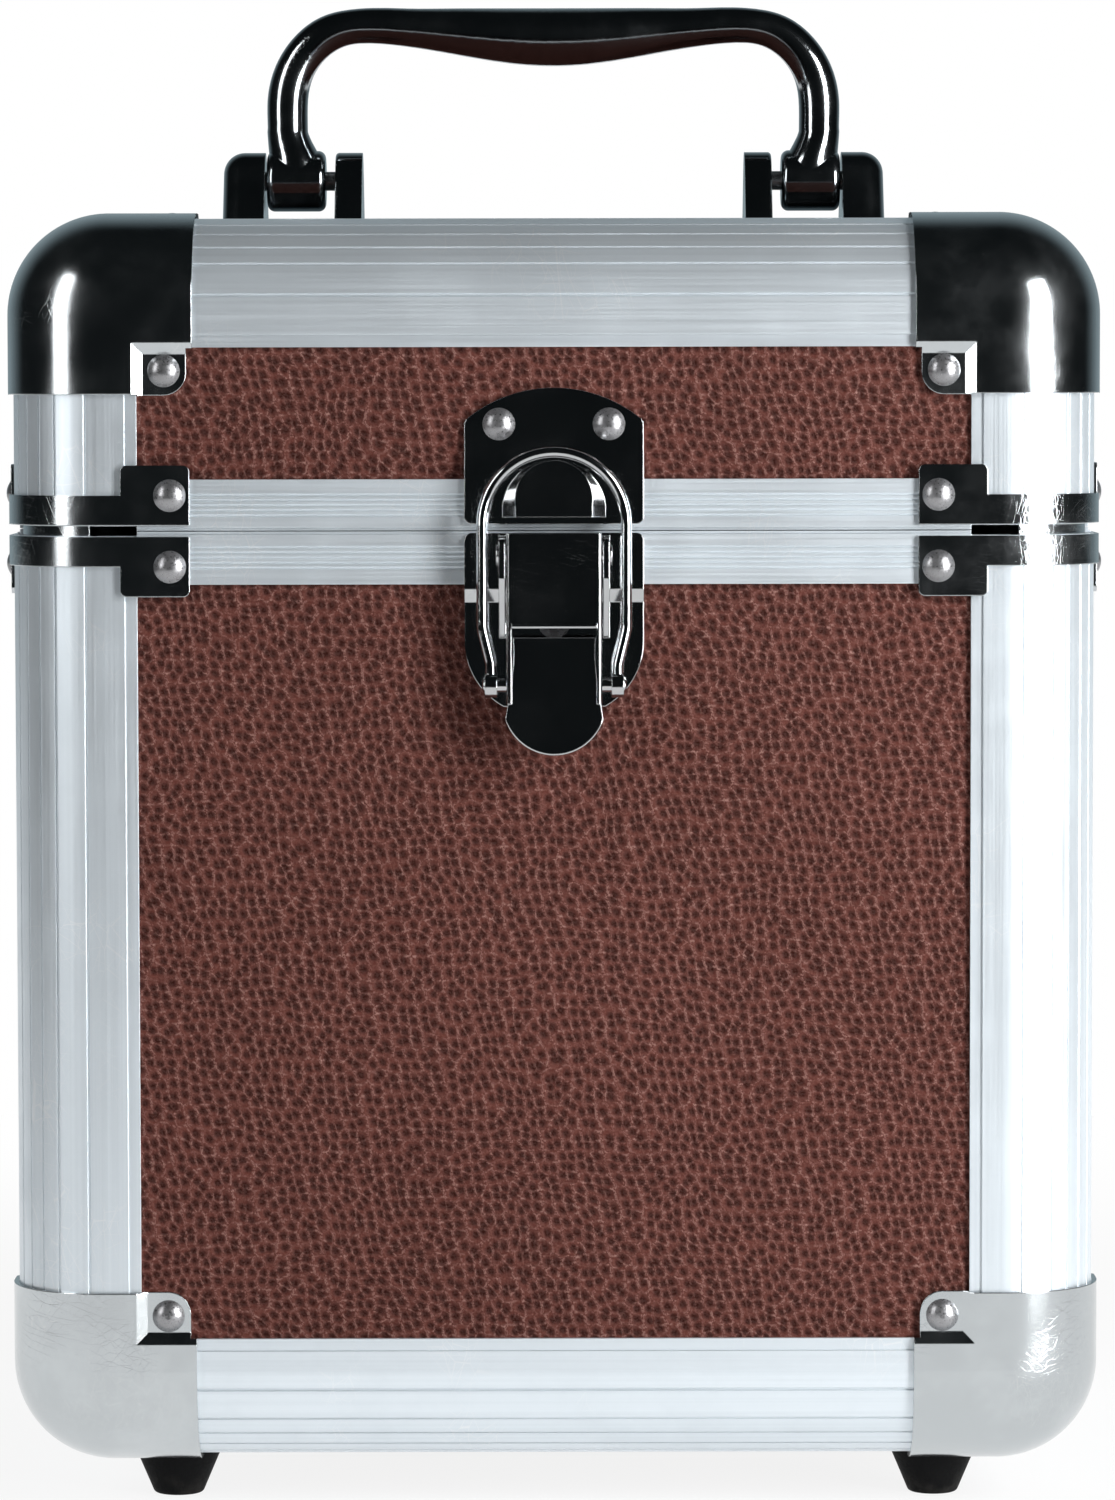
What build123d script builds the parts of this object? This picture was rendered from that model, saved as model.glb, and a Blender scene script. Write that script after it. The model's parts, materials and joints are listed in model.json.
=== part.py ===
from build123d import *
from math import acos, atan2, cos, degrees, pi, radians, sin
import os

# Flight case for small records: a leatherette-faced box in an aluminium edge frame,
# with a hinged lid, chrome corner caps, a toggle latch and a folding carry handle.
# Millimetres, +Z up, the front faces -Y and the feet stand on Z = 0.

# Overall size of the framed body, without feet, handle, caps and latch
case_width = 215.0
case_depth = 205.0
base_height = 185.4
lid_height = 61.6
foot_height = 10.3

# Aluminium edge extrusion
edge_width = 25.6
edge_radius = 19.2
edge_wall = 1.3
edge_leg = 1.0
lip_width = 2.4
lip_drop = 0.4
groove_radius = 0.3
groove_angles = [11.4] + [31.0 + 12.1 * step for step in range(4)]
slot_depth = 7.0

# Covered boards
board_thickness = 3.6
board_play = 0.2

# Rim rails on both sides of the seam
base_rail_height = 10.5
lid_rail_height = 10.1
rail_web = 1.8
rim_play = 0.1
rim_rebate_height = 0.7
rim_rebate_depth = 0.5
rail_groove_count = 5
rail_groove_pitch = 1.0
rail_groove_radius = 0.22
tongue_thickness = 1.0
tongue_height = 3.0
tongue_play = 0.3
post_gap = 1.0
rim_corner_wall = 1.2
rim_corner_depth = 12.0
rim_corner_angle = 70.0
rim_corner_play = 0.4

# Chrome corner caps
cap_leg = 36.6
cap_leg_up = 34.8
cap_wall = 1.1
cap_tab_reach = 35.4
cap_tab_reach_up = 35.0
cap_tab_radius = 4.5
cap_tab_play = 0.2
cap_step_wall = 1.1
cap_step_bevel = 2.2
cap_rivet_inset = 31.0
cap_rivet_inset_up = 30.2

# Chrome straps that wrap the corners at the seam
strap_wall = 1.0
strap_gap = 1.1
strap_height = 5.9
strap_plate_height = 11.8
strap_plate_width = 13.6
strap_plate_inner = 36.0
strap_plate_radius = 1.3
strap_rivet_inset = 3.9
strap_rivet_height = 7.0

# Dome-headed rivets
rivet_head_radius = 3.2
rivet_head_height = 1.7
rivet_shank_radius = 1.4
rivet_shank_length = 4.4
rivet_play = 0.1

# Soft lining
lining_thickness = 2.5
lining_radius = 6.5
lining_rim_play = 0.3
tongue_lining_play = 0.4

# Feet and their screws
foot_top_radius = 8.8
foot_bottom_radius = 4.9
foot_boss_radius = 3.8
foot_edge_radius = 1.0
foot_screw_radius = 1.4
foot_screw_head_radius = 3.0
foot_screw_head_height = 1.6
foot_screw_recess = 3.0
foot_screw_bite = 3.0

# Latch plates, shared by the keeper, the latch and the hinge leaves
plate_wall = 1.0
plate_half_width = 17.6

# Keeper on the lid
keeper_bottom = 1.3
keeper_joggle_low = 12.0
keeper_joggle_high = 16.5
keeper_shoulder = 21.5
keeper_top = 28.0
keeper_corner_radius = 1.5
keeper_rivet_spacing = 21.6
keeper_rivet_height = 20.9
hook_height = 3.6
hook_half_width = 7.5
hook_base_half_width = 10.8
hook_bottom = 2.7
hook_top = 13.9
hook_side_height = 2.2

# Latch plate on the base, heights measured down from the seam
latch_plate_top = 0.4
latch_plate_side = 21.7
latch_plate_bottom = 34.6
latch_plate_foot = 10.0
latch_joggle_high = 11.5
latch_joggle_low = 14.0
latch_rivet_heights = (18.0, 28.0)
latch_rivet_head_height = 0.7

# Toggle lever, its pivot and its cross pin
lever_half_width = 9.35
lever_wall = 1.0
lever_top = 0.4
lever_skin_bottom = 18.9
lever_face = 9.2
lever_lip = 0.5
lever_inner_edge = 3.2
lever_flange_bottom = 33.6
pivot_drop = 4.6
pivot_reach = 6.5
pivot_pin_radius = 1.3
cross_boss_radius = 3.1
flange_neck_drop = 7.5
pivot_head_radius = 2.0
pivot_head_height = 0.6
lever_edge_round = 0.8
pin_play = 0.05
tab_top = 20.7
tab_bottom = 43.7
tab_inner_top = 6.9
tab_inner_bottom = 8.7
tab_half_top = 8.1
tab_half_waist = 8.0
tab_waist_drop = 25.0
tab_half_flare = 9.6
tab_flare_drop = 36.8
tab_side_drop = 30.0
tab_half_side = 8.5
tab_round = 0.35

# Ears folded out of the latch plate
ear_wall = 1.2
ear_play = 0.25
ear_bottom = 21.0
ear_top = 0.9
ear_crown = 8.6
ear_shoulder_drop = 9.2
ear_foot_reach = 2.0
ear_round = 2.0

# Wire bail
wire_radius = 1.1
bail_radius = 14.1
bail_crown = 15.5
bail_end_half = 12.4
bail_jog_low = 26.0
bail_jog_high = 19.0
cross_pin_drop = 30.1
cross_pin_radius = 1.3
bail_eye_radius = 2.4
bail_eye_thickness = 2.4
bail_bend_radius = 5.0
hook_play = 0.35

# Back hinges
hinge_strap_gap = 3.5
hinge_width = 36.0
hinge_leaf_start = 2.8
hinge_leaf_height = 23.0
hinge_knuckle_radius = 2.4
hinge_pin_radius = 1.3
hinge_knuckle_length = 9.0
hinge_knuckle_play = 0.3
hinge_rivet_spacing = 20.0
hinge_rivet_height = 18.2
hinge_corner_radius = 2.0

# Carry handle, heights measured up from the top of the frame
handle_pivot_height = 10.1
handle_top = 46.5
handle_arm_centre = 56.3
handle_arm_radius = 4.3
handle_neck_radius = 3.7
handle_straight_top = 26.0
handle_bend_end = 41.0
handle_grip_height = 12.2
handle_grip_width = 13.0
handle_foot_inner = 48.2
handle_foot_outer = 60.6
handle_foot_radius = 6.4
handle_foot_flare = 20.5
handle_foot_shoulder = 13.4
handle_foot_edge = 1.6
handle_foot_waist = 0.5
handle_pin_radius = 2.0
upright = 0.0
level = 90.0

# Handle brackets
bracket_outer = 69.8
bracket_outer_cheek = 60.95
bracket_inner_cheek = 46.1
bracket_inner = 40.4
bracket_base_height = 2.4
bracket_half_depth = 12.0
bracket_crown_radius = 6.0
bracket_outer_round = 4.5
bracket_edge_round = 0.8
bracket_pin_cover = 2.5
bracket_screw_radius = 1.4
bracket_screw_head_radius = 3.6
bracket_screw_head_height = 0.8
bracket_screw_bite = 5.0

# Places worked out from the sizes above
half_width = case_width / 2
half_depth = case_depth / 2
bottom_z = foot_height
seam_z = bottom_z + base_height
top_z = seam_z + lid_height
board_face = edge_wall
board_back = board_face + board_thickness
leg_back = board_back + edge_leg
slot_end = edge_width - slot_depth
board_inset = slot_end + board_play
rail_half_x = half_width - edge_width
rail_half_y = half_depth - edge_width
tongue_near = leg_back + tongue_play
strap_rivet_place = strap_plate_inner - strap_rivet_inset
tab_reach_in = board_face - cap_wall
plate_on_board = -board_face
hinge_axis_y = half_depth + hinge_knuckle_radius
hinge_centre = half_width - strap_plate_inner - hinge_strap_gap - hinge_width / 2
bail_reach = plate_wall + hook_height + hook_play + wire_radius
pivot_z = seam_z - pivot_drop
pivot_boss_radius = lever_face - pivot_reach
cross_pin_z = seam_z - cross_pin_drop
handle_pivot_z = top_z + handle_pivot_height
ear_near = lever_half_width + ear_play
ear_far = ear_near + ear_wall
lever_reach = lever_face + lever_lip
hinge_reach = 2 * hinge_knuckle_radius
bracket_top_z = top_z + bracket_base_height - board_face
cap_step_taper = degrees(atan2(cap_step_bevel, cap_wall + tab_reach_in))

SIDES = (-1, 1)
CORNERS = [(sx, sy) for sx in SIDES for sy in SIDES]
CORNER_NAMES = {(-1, -1): "front_left", (1, -1): "front_right", (-1, 1): "back_left", (1, 1): "back_right"}

os.makedirs("parts", exist_ok=True)


# The latch stands out further in front than the hinges behind, so every piece is set back
# by half the difference: the middle of the whole case then lies on Y = 0
depth_shift = (lever_reach - hinge_reach) / 2


def save(piece, name):
    placed = piece.part.moved(Location((0, depth_shift, 0)))
    placed.label = name
    export_step(placed, f"parts/{name}.step")


# Planes that look at the case from outside: local Z points out of the face, local Y is up
def front_plane(reach=0.0):
    return Plane(origin=(0, -half_depth - reach, 0), x_dir=(1, 0, 0), z_dir=(0, -1, 0))


def back_plane(reach=0.0):
    return Plane(origin=(0, half_depth + reach, 0), x_dir=(-1, 0, 0), z_dir=(0, 1, 0))


def side_plane(side, reach=0.0):
    return Plane(origin=(side * (half_width + reach), 0, 0), x_dir=(0, side, 0), z_dir=(side, 0, 0))


def face_planes(reach=0.0):
    return [
        (front_plane(reach), half_width),
        (back_plane(reach), half_width),
        (side_plane(-1, reach), half_depth),
        (side_plane(1, reach), half_depth),
    ]


# Section of the edge extrusion, drawn with its sharp outer corner at the origin:
# a grooved round shell with two slots that hold the edges of the boards
def edge_section(plane, turned):
    web = slot_end - edge_leg
    inner_radius = edge_radius - edge_wall
    web_foot = edge_radius - (inner_radius**2 - (edge_radius - web) ** 2) ** 0.5
    inner_middle = edge_radius - inner_radius / 2**0.5
    outer_middle = edge_radius - edge_radius / 2**0.5
    arm = [
        (edge_radius, 0),
        (edge_width - lip_width, 0),
        (edge_width - lip_width, lip_drop),
        (edge_width, lip_drop),
        (edge_width, board_face),
        (slot_end, board_face),
        (slot_end, board_back),
        (edge_width, board_back),
        (edge_width, leg_back),
        (web, leg_back),
        (web, web_foot),
    ]
    other_arm = [(y, x) for x, y in reversed(arm)]
    with BuildSketch(plane) as section:
        with BuildLine():
            Polyline(*arm)
            ThreePointArc(arm[-1], (inner_middle, inner_middle), other_arm[0])
            Polyline(*other_arm)
            ThreePointArc(other_arm[-1], (outer_middle, outer_middle), arm[0])
        make_face()
        with Locations((edge_radius, edge_radius)):
            for angle in groove_angles:
                with PolarLocations(edge_radius, 1, start_angle=180 + angle if turned else 270 - angle):
                    Circle(groove_radius, mode=Mode.SUBTRACT)
    return section.sketch


# The section placed at an outer edge of the body. Its grooves are counted from the upright
# wall: in_wall points inwards within that wall and inward points into the case.
def placed_section(origin, in_wall, inward, along):
    turned = (Vector(*along).cross(Vector(*in_wall)) - Vector(*inward)).length > 0.1
    x_dir = inward if turned else in_wall
    return edge_section(Plane(origin=origin, x_dir=x_dir, z_dir=along), turned)


def make_posts(low, high, name):
    sections = []
    for sx, sy in CORNERS:
        corner = (sx * half_width, sy * half_depth, low)
        sections.append(placed_section(corner, (-sx, 0, 0), (0, -sy, 0), (0, 0, 1)))
    with BuildPart() as posts:
        for section in sections:
            extrude(section, amount=high - low)
    save(posts, name)


def make_edges(z, up, prefix):
    for side, name in ((-1, "front"), (1, "back")):
        start = (-rail_half_x, side * half_depth, z)
        section = placed_section(start, (0, 0, up), (0, -side, 0), (1, 0, 0))
        with BuildPart() as edge:
            extrude(section, amount=2 * rail_half_x)
        save(edge, f"{prefix}_edge_{name}")
    for side, name in ((-1, "left"), (1, "right")):
        start = (side * half_width, -rail_half_y, z)
        section = placed_section(start, (0, 0, up), (-side, 0, 0), (0, 1, 0))
        with BuildPart() as edge:
            extrude(section, amount=2 * rail_half_y)
        save(edge, f"{prefix}_edge_{name}")


# Section of a rim rail: local X runs into the case from the outer face, local Y runs away
# from the seam. The base's rail has an inner tongue that stands up past the seam.
def rail_section(plane, height, tongue):
    with BuildSketch(plane) as section:
        with Locations((0, rim_play)):
            Rectangle(leg_back, rail_web, align=Align.MIN)
            Rectangle(edge_wall, height - rim_play, align=Align.MIN)
        with Locations((board_back, rim_play)):
            Rectangle(edge_leg, height - rim_play, align=Align.MIN)
        Rectangle(rim_rebate_depth, rim_rebate_height, align=Align.MIN, mode=Mode.SUBTRACT)
        if tongue:
            with Locations((board_back, rim_play)):
                Rectangle(tongue_near + tongue_thickness - board_back, rail_web, align=Align.MIN)
            with Locations((tongue_near, -tongue_height)):
                Rectangle(tongue_thickness, tongue_height + rim_play + rail_web, align=Align.MIN)
        with Locations((0, height / 2)):
            with GridLocations(1, rail_groove_pitch, 1, rail_groove_count):
                Circle(rail_groove_radius, mode=Mode.SUBTRACT)
    return section.sketch


def make_rail(section, length, face, half, rivet_z, name):
    reach = half - strap_rivet_place
    with BuildPart() as rail:
        extrude(section, amount=length)
        with BuildSketch(face):
            with Locations((-reach, rivet_z), (reach, rivet_z)):
                Circle(rivet_shank_radius + rivet_play)
        extrude(amount=-edge_wall, mode=Mode.SUBTRACT)
    save(rail, name)


def make_rails(away, height, tongue, prefix):
    rivet_z = seam_z + away * strap_rivet_height
    for side, name in ((-1, "front"), (1, "back")):
        along = -side * away
        start = (-along * rail_half_x, side * half_depth, seam_z)
        plane = Plane(origin=start, x_dir=(0, -side, 0), z_dir=(along, 0, 0))
        face = front_plane() if side < 0 else back_plane()
        section = rail_section(plane, height, tongue)
        make_rail(section, 2 * rail_half_x, face, half_width, rivet_z, f"{prefix}_rail_{name}")
    for side, name in ((-1, "left"), (1, "right")):
        along = side * away
        start = (side * half_width, -along * rail_half_y, seam_z)
        plane = Plane(origin=start, x_dir=(-side, 0, 0), z_dir=(0, along, 0))
        section = rail_section(plane, height, tongue)
        make_rail(section, 2 * rail_half_y, side_plane(side), half_depth, rivet_z, f"{prefix}_rail_{name}")


# Quarter rings that carry the tongue round the corners, inside the posts
def make_rim_corners():
    outer = edge_radius - edge_wall - rim_corner_play
    inner = outer - rim_corner_wall
    with BuildPart() as corners:
        for sx, sy in CORNERS:
            centre = (sx * (half_width - edge_radius), sy * (half_depth - edge_radius))
            start = degrees(atan2(sy, sx)) - rim_corner_angle / 2
            with BuildSketch(Plane.XY.offset(seam_z - rim_corner_depth)):
                with BuildLine():
                    far = CenterArc(centre, outer, start, rim_corner_angle)
                    near = CenterArc(centre, inner, start, rim_corner_angle)
                    Line(far @ 0, near @ 0)
                    Line(far @ 1, near @ 1)
                make_face()
            extrude(amount=rim_corner_depth + tongue_height)
    save(corners, "base_rim_corners")


# Places of the rivets, as (local X, Z) on a wall's face or (X, Y) on the roof and floor
def tab_places(half, z):
    return [(side * (half - cap_rivet_inset), z) for side in SIDES]


def strap_places(half, z):
    return [(side * (half - strap_rivet_place), z) for side in SIDES]


def hinge_places(away):
    z = seam_z + away * hinge_rivet_height
    return [(s * hinge_centre + t * hinge_rivet_spacing / 2, z) for s in SIDES for t in SIDES]


base_tab_z = bottom_z + cap_rivet_inset_up
lid_tab_z = top_z - cap_rivet_inset_up
base_strap_z = seam_z - strap_rivet_height
lid_strap_z = seam_z + strap_rivet_height
latch_places = [(0, seam_z - drop) for drop in latch_rivet_heights]
keeper_places = [(side * keeper_rivet_spacing / 2, seam_z + keeper_rivet_height) for side in SIDES]
floor_x = half_width - cap_rivet_inset
floor_y = half_depth - cap_rivet_inset
floor_places = [(sx * floor_x, sy * floor_y) for sx, sy in CORNERS]
outer_cheek_middle = (bracket_outer + bracket_outer_cheek) / 2
inner_cheek_middle = (bracket_inner + bracket_inner_cheek) / 2
bracket_screw_places = [(side * x, 0) for side in SIDES for x in (inner_cheek_middle, outer_cheek_middle)]


# A board: drawn on its face plane and drilled for what passes through it
def make_board(plane, width, low, high, drillings, name):
    with BuildPart() as board:
        with BuildSketch(plane):
            with Locations((0, (low + high) / 2)):
                Rectangle(width, high - low)
            for radius, places in drillings:
                with Locations(*places):
                    Circle(radius + rivet_play, mode=Mode.SUBTRACT)
        extrude(amount=-board_thickness)
    save(board, name)


def make_boards():
    wide = 2 * (half_width - board_inset)
    deep = 2 * (half_depth - board_inset)
    rim_inset = rim_play + rail_web + board_play
    base_span = (bottom_z + board_inset, seam_z - rim_inset)
    lid_span = (seam_z + rim_inset, top_z - board_inset)
    shank = rivet_shank_radius
    for name, plane, width, half, base_extra, lid_extra in (
        ("front", front_plane(-board_face), wide, half_width, latch_places, keeper_places),
        ("back", back_plane(-board_face), wide, half_width, hinge_places(-1), hinge_places(1)),
        ("left", side_plane(-1, -board_face), deep, half_depth, [], []),
        ("right", side_plane(1, -board_face), deep, half_depth, [], []),
    ):
        base_drill = [(shank, tab_places(half, base_tab_z) + strap_places(half, base_strap_z) + base_extra)]
        lid_drill = [(shank, tab_places(half, lid_tab_z) + strap_places(half, lid_strap_z) + lid_extra)]
        make_board(plane, width, *base_span, base_drill, f"base_{name}_panel")
        make_board(plane, width, *lid_span, lid_drill, f"lid_{name}_panel")
    floor = Plane(origin=(0, 0, bottom_z + board_face), x_dir=(1, 0, 0), z_dir=(0, 0, -1))
    roof = Plane.XY.offset(top_z - board_face)
    roof_drill = [(shank, floor_places), (bracket_screw_radius, bracket_screw_places)]
    make_board(floor, wide, -deep / 2, deep / 2, [(foot_screw_radius, floor_places)], "base_bottom_panel")
    make_board(roof, wide, -deep / 2, deep / 2, roof_drill, "lid_top_panel")


# Rounded cube that the outside and the inside of a corner cap are cut from
def cap_block(wall):
    low = (-wall, -wall, -wall)
    with BuildPart() as block:
        with Locations(low):
            Box(cap_leg + wall, cap_leg + wall, cap_leg_up + wall, align=Align.MIN)
        fillet(block.edges().sort_by_distance(low)[:3], edge_radius + wall)
    return block.part


# Corner cap, drawn for the corner whose outer planes meet at the origin and whose legs run
# along +X, +Y and +Z: a rounded shell with a sunk, drilled tab on each of its three faces. The
# leg along Z is shorter, so each face has its own reach and rivet place in its two directions.
def make_cap_shape():
    outside = cap_block(cap_wall)
    inside = cap_block(0)
    tab_near = edge_width + cap_tab_play
    pocket = tab_near + cap_step_wall
    step = cap_wall + tab_reach_in
    flat, up = (cap_tab_reach, cap_rivet_inset), (cap_tab_reach_up, cap_rivet_inset_up)
    faces = [
        ((1, 0, 0), (0, 0, 1), flat, flat),
        ((0, 1, 0), (1, 0, 0), flat, up),
        ((0, 0, 1), (0, 1, 0), up, flat),
    ]
    with BuildPart() as cap:
        add(outside)
        add(inside, mode=Mode.SUBTRACT)
        for x_dir, z_dir, (reach_x, rivet_x), (reach_y, rivet_y) in faces:
            face = Plane(origin=(0, 0, 0), x_dir=x_dir, z_dir=z_dir).offset(-cap_wall)
            with BuildSketch(face):
                with Locations((tab_near, tab_near)):
                    Rectangle(cap_leg, cap_leg, align=Align.MIN)
            extrude(amount=cap_wall, mode=Mode.SUBTRACT)
            with BuildSketch(face) as tab:
                with Locations((tab_near, tab_near)):
                    Rectangle(reach_x - tab_near, reach_y - tab_near, align=Align.MIN)
                fillet(tab.vertices().sort_by_distance((reach_x, reach_y, 0))[0], cap_tab_radius)
            extrude(amount=cap_wall + board_face)
            with BuildSketch(face):
                with Locations((pocket - cap_step_bevel, pocket - cap_step_bevel)):
                    Rectangle(cap_leg, cap_leg, align=Align.MIN)
            extrude(amount=step, taper=cap_step_taper, mode=Mode.SUBTRACT)
            with BuildSketch(face):
                with Locations((rivet_x, rivet_y)):
                    Circle(rivet_shank_radius + rivet_play)
            extrude(amount=cap_wall + board_face, mode=Mode.SUBTRACT)
    return cap.part


def make_caps():
    shape = make_cap_shape()
    shape = shape.moved(Location((-half_width, -half_depth, bottom_z)))
    for sx, sy in CORNERS:
        turned = shape if sx < 0 else mirror(shape, about=Plane.YZ)
        turned = turned if sy < 0 else mirror(turned, about=Plane.XZ)
        raised = mirror(turned, about=Plane.XY.offset((bottom_z + top_z) / 2))
        with BuildPart() as bottom_cap:
            add(turned)
        save(bottom_cap, f"bottom_cap_{CORNER_NAMES[(sx, sy)]}")
        with BuildPart() as top_cap:
            add(raised)
        save(top_cap, f"top_cap_{CORNER_NAMES[(sx, sy)]}")


# Seam straps: a band round each vertical corner with a riveted plate at both ends
def make_straps(away, name):
    low = min(away * strap_gap, away * (strap_gap + strap_height))
    plate_middle = seam_z + away * (strap_gap + strap_plate_height / 2)
    rivet_z = seam_z + away * strap_rivet_height
    wide = case_width + 2 * strap_wall
    deep = case_depth + 2 * strap_wall
    with BuildPart() as straps:
        with BuildSketch(Plane.XY.offset(seam_z + low)):
            RectangleRounded(wide, deep, edge_radius + strap_wall)
            RectangleRounded(case_width, case_depth, edge_radius, mode=Mode.SUBTRACT)
            Rectangle(case_width - 2 * strap_plate_inner, 2 * case_depth, mode=Mode.SUBTRACT)
            Rectangle(2 * case_width, case_depth - 2 * strap_plate_inner, mode=Mode.SUBTRACT)
        extrude(amount=strap_height)
        for face, half in face_planes():
            centre = half - strap_plate_inner + strap_plate_width / 2
            with BuildSketch(face):
                with Locations((-centre, plate_middle), (centre, plate_middle)):
                    RectangleRounded(strap_plate_width, strap_plate_height, strap_plate_radius)
            extrude(amount=strap_wall)
        for face, half in face_planes():
            with BuildSketch(face):
                with Locations(*strap_places(half, rivet_z)):
                    Circle(rivet_shank_radius + rivet_play)
            extrude(amount=strap_wall, mode=Mode.SUBTRACT)
    save(straps, name)


# Dome-headed rivet with its seat at the origin and its shank along -Z
def make_rivet_shape(head_height, shank_length):
    sphere = (rivet_head_radius**2 + head_height**2) / (2 * head_height)
    middle_x = rivet_head_radius / 2
    middle_z = head_height - sphere + (sphere**2 - middle_x**2) ** 0.5
    with BuildPart() as rivet:
        with BuildSketch(Plane.XZ):
            with BuildLine():
                Polyline(
                    (0, head_height),
                    (0, -shank_length),
                    (rivet_shank_radius, -shank_length),
                    (rivet_shank_radius, 0),
                    (rivet_head_radius, 0),
                )
                ThreePointArc((rivet_head_radius, 0), (middle_x, middle_z), (0, head_height))
            make_face()
        revolve(axis=Axis.Z)
    return rivet.part


def on_plane(plane, places):
    return [plane.location * Location((x, y, 0)) for x, y in places]


def make_rivets():
    dome = make_rivet_shape(rivet_head_height, rivet_shank_length)
    flat = make_rivet_shape(latch_rivet_head_height, rivet_shank_length)
    base_spots, lid_spots = [], []
    for (tab_face, half), (strap_face, _) in zip(face_planes(-tab_reach_in), face_planes(strap_wall)):
        base_spots += on_plane(tab_face, tab_places(half, base_tab_z))
        base_spots += on_plane(strap_face, strap_places(half, base_strap_z))
        lid_spots += on_plane(tab_face, tab_places(half, lid_tab_z))
        lid_spots += on_plane(strap_face, strap_places(half, lid_strap_z))
    plate_seat = plate_on_board + plate_wall
    roof = Plane.XY.offset(top_z - tab_reach_in)
    lid_spots += on_plane(roof, floor_places)
    base_spots += on_plane(back_plane(plate_seat), hinge_places(-1))
    lid_spots += on_plane(back_plane(plate_seat), hinge_places(1))
    lid_spots += on_plane(front_plane(plate_seat), keeper_places)
    latch_spots = on_plane(front_plane(plate_seat), latch_places)
    for spots, shape, name in (
        (base_spots, dome, "base_rivets"),
        (lid_spots, dome, "lid_rivets"),
        (latch_spots, flat, "latch_plate_rivets"),
    ):
        with BuildPart() as rivets:
            with Locations(*spots):
                add(shape)
        save(rivets, name)


# Tapered feet, each screwed through the sunk tab of a bottom cap
def make_feet():
    tab_z = bottom_z + tab_reach_in
    with BuildPart() as foot:
        with BuildSketch(Plane.XZ):
            with BuildLine():
                Polyline(
                    (0, 0),
                    (foot_bottom_radius, 0),
                    (foot_top_radius, bottom_z - cap_wall),
                    (foot_boss_radius, bottom_z - cap_wall),
                    (foot_boss_radius, tab_z),
                    (0, tab_z),
                    (0, 0),
                )
            make_face()
        revolve(axis=Axis.Z)
        fillet(foot.edges().group_by(Axis.Z)[0], foot_edge_radius)
        with BuildSketch(Plane.XY):
            Circle(foot_screw_head_radius + rivet_play)
        extrude(amount=foot_screw_recess, mode=Mode.SUBTRACT)
        with BuildSketch(Plane.XY):
            Circle(foot_screw_radius + rivet_play)
        extrude(amount=tab_z, mode=Mode.SUBTRACT)
    with BuildPart() as feet:
        with Locations(*floor_places):
            add(foot.part)
    save(feet, "feet")
    with BuildPart() as screws:
        for radius, low, high in (
            (foot_screw_head_radius, foot_screw_recess - foot_screw_head_height, foot_screw_recess),
            (foot_screw_radius, foot_screw_recess, bottom_z + board_face + foot_screw_bite),
        ):
            with BuildSketch(Plane.XY.offset(low)):
                with Locations(*floor_places):
                    Circle(radius)
            extrude(amount=high - low)
    save(screws, "foot_screws")


# Soft lining: an open tray that lies inside the inner legs of the frame
def make_lining(low, high, open_top, name):
    width = case_width - 2 * leg_back
    depth = case_depth - 2 * leg_back
    with BuildPart() as lining:
        with Locations((0, 0, (low + high) / 2)):
            Box(width, depth, high - low)
        closed = lining.edges().group_by(Axis.Z)[0 if open_top else -1]
        fillet(lining.edges().filter_by(Axis.Z) + closed, lining_radius)
        mouth = lining.faces().sort_by(Axis.Z)[-1 if open_top else 0]
        offset(amount=-lining_thickness, openings=mouth)
    save(lining, name)


# Sheet that lies on the rail near the seam and steps down onto the board further away.
# Its four heights are measured from the seam; side is -1 on the front and 1 on the back.
def joggled_section(side, away, heights, x):
    steps = list(zip(heights, (0, 0, plate_on_board, plate_on_board)))
    back = [(side * (half_depth + reach), seam_z + away * height) for height, reach in steps]
    front = [(y + side * plate_wall, z) for y, z in reversed(back)]
    with BuildSketch(Plane.YZ.offset(x)) as section:
        with BuildLine():
            Polyline(*back, *front, close=True)
        make_face()
    return section.sketch


# Points on a plane square to X, from (reach out of the front, drop below the seam)
def side_points(*points):
    return [(-half_depth - reach, seam_z - drop) for reach, drop in points]


def hook_outline(reach, half, bottom):
    with BuildSketch(front_plane(reach)) as outline:
        with BuildLine():
            low, side, top = seam_z + bottom, seam_z + bottom + hook_side_height, seam_z + hook_top
            Polyline((-half, side), (-half, low), (half, low), (half, side))
            ThreePointArc((half, side), (0, top), (-half, side))
        make_face()
    return outline.sketch


# Keeper on the lid: a joggled plate with an arched top and the hook that the bail goes over
def make_keeper():
    cut_reach = 2 * hook_height
    with BuildPart() as keeper:
        heights = (keeper_bottom, keeper_joggle_low, keeper_joggle_high, keeper_top)
        extrude(joggled_section(-1, 1, heights, -plate_half_width), amount=2 * plate_half_width)
        with BuildSketch(front_plane(cut_reach)) as outline:
            with BuildLine():
                low, shoulder, top = (seam_z + z for z in (keeper_bottom, keeper_shoulder, keeper_top))
                Polyline(
                    (-plate_half_width, shoulder),
                    (-plate_half_width, low),
                    (plate_half_width, low),
                    (plate_half_width, shoulder),
                )
                ThreePointArc((plate_half_width, shoulder), (0, top), (-plate_half_width, shoulder))
            make_face()
            fillet(outline.vertices(), keeper_corner_radius)
            with Locations(*keeper_places):
                Circle(rivet_shank_radius + rivet_play, mode=Mode.SUBTRACT)
        extrude(amount=-2 * cut_reach, mode=Mode.INTERSECT)
        hook_foot = hook_outline(0, hook_base_half_width, hook_bottom)
        hook_face = hook_outline(plate_wall + hook_height, hook_half_width, hook_bottom)
        loft([hook_foot.face(), hook_face.face()])
    save(keeper, "keeper_plate")


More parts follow.
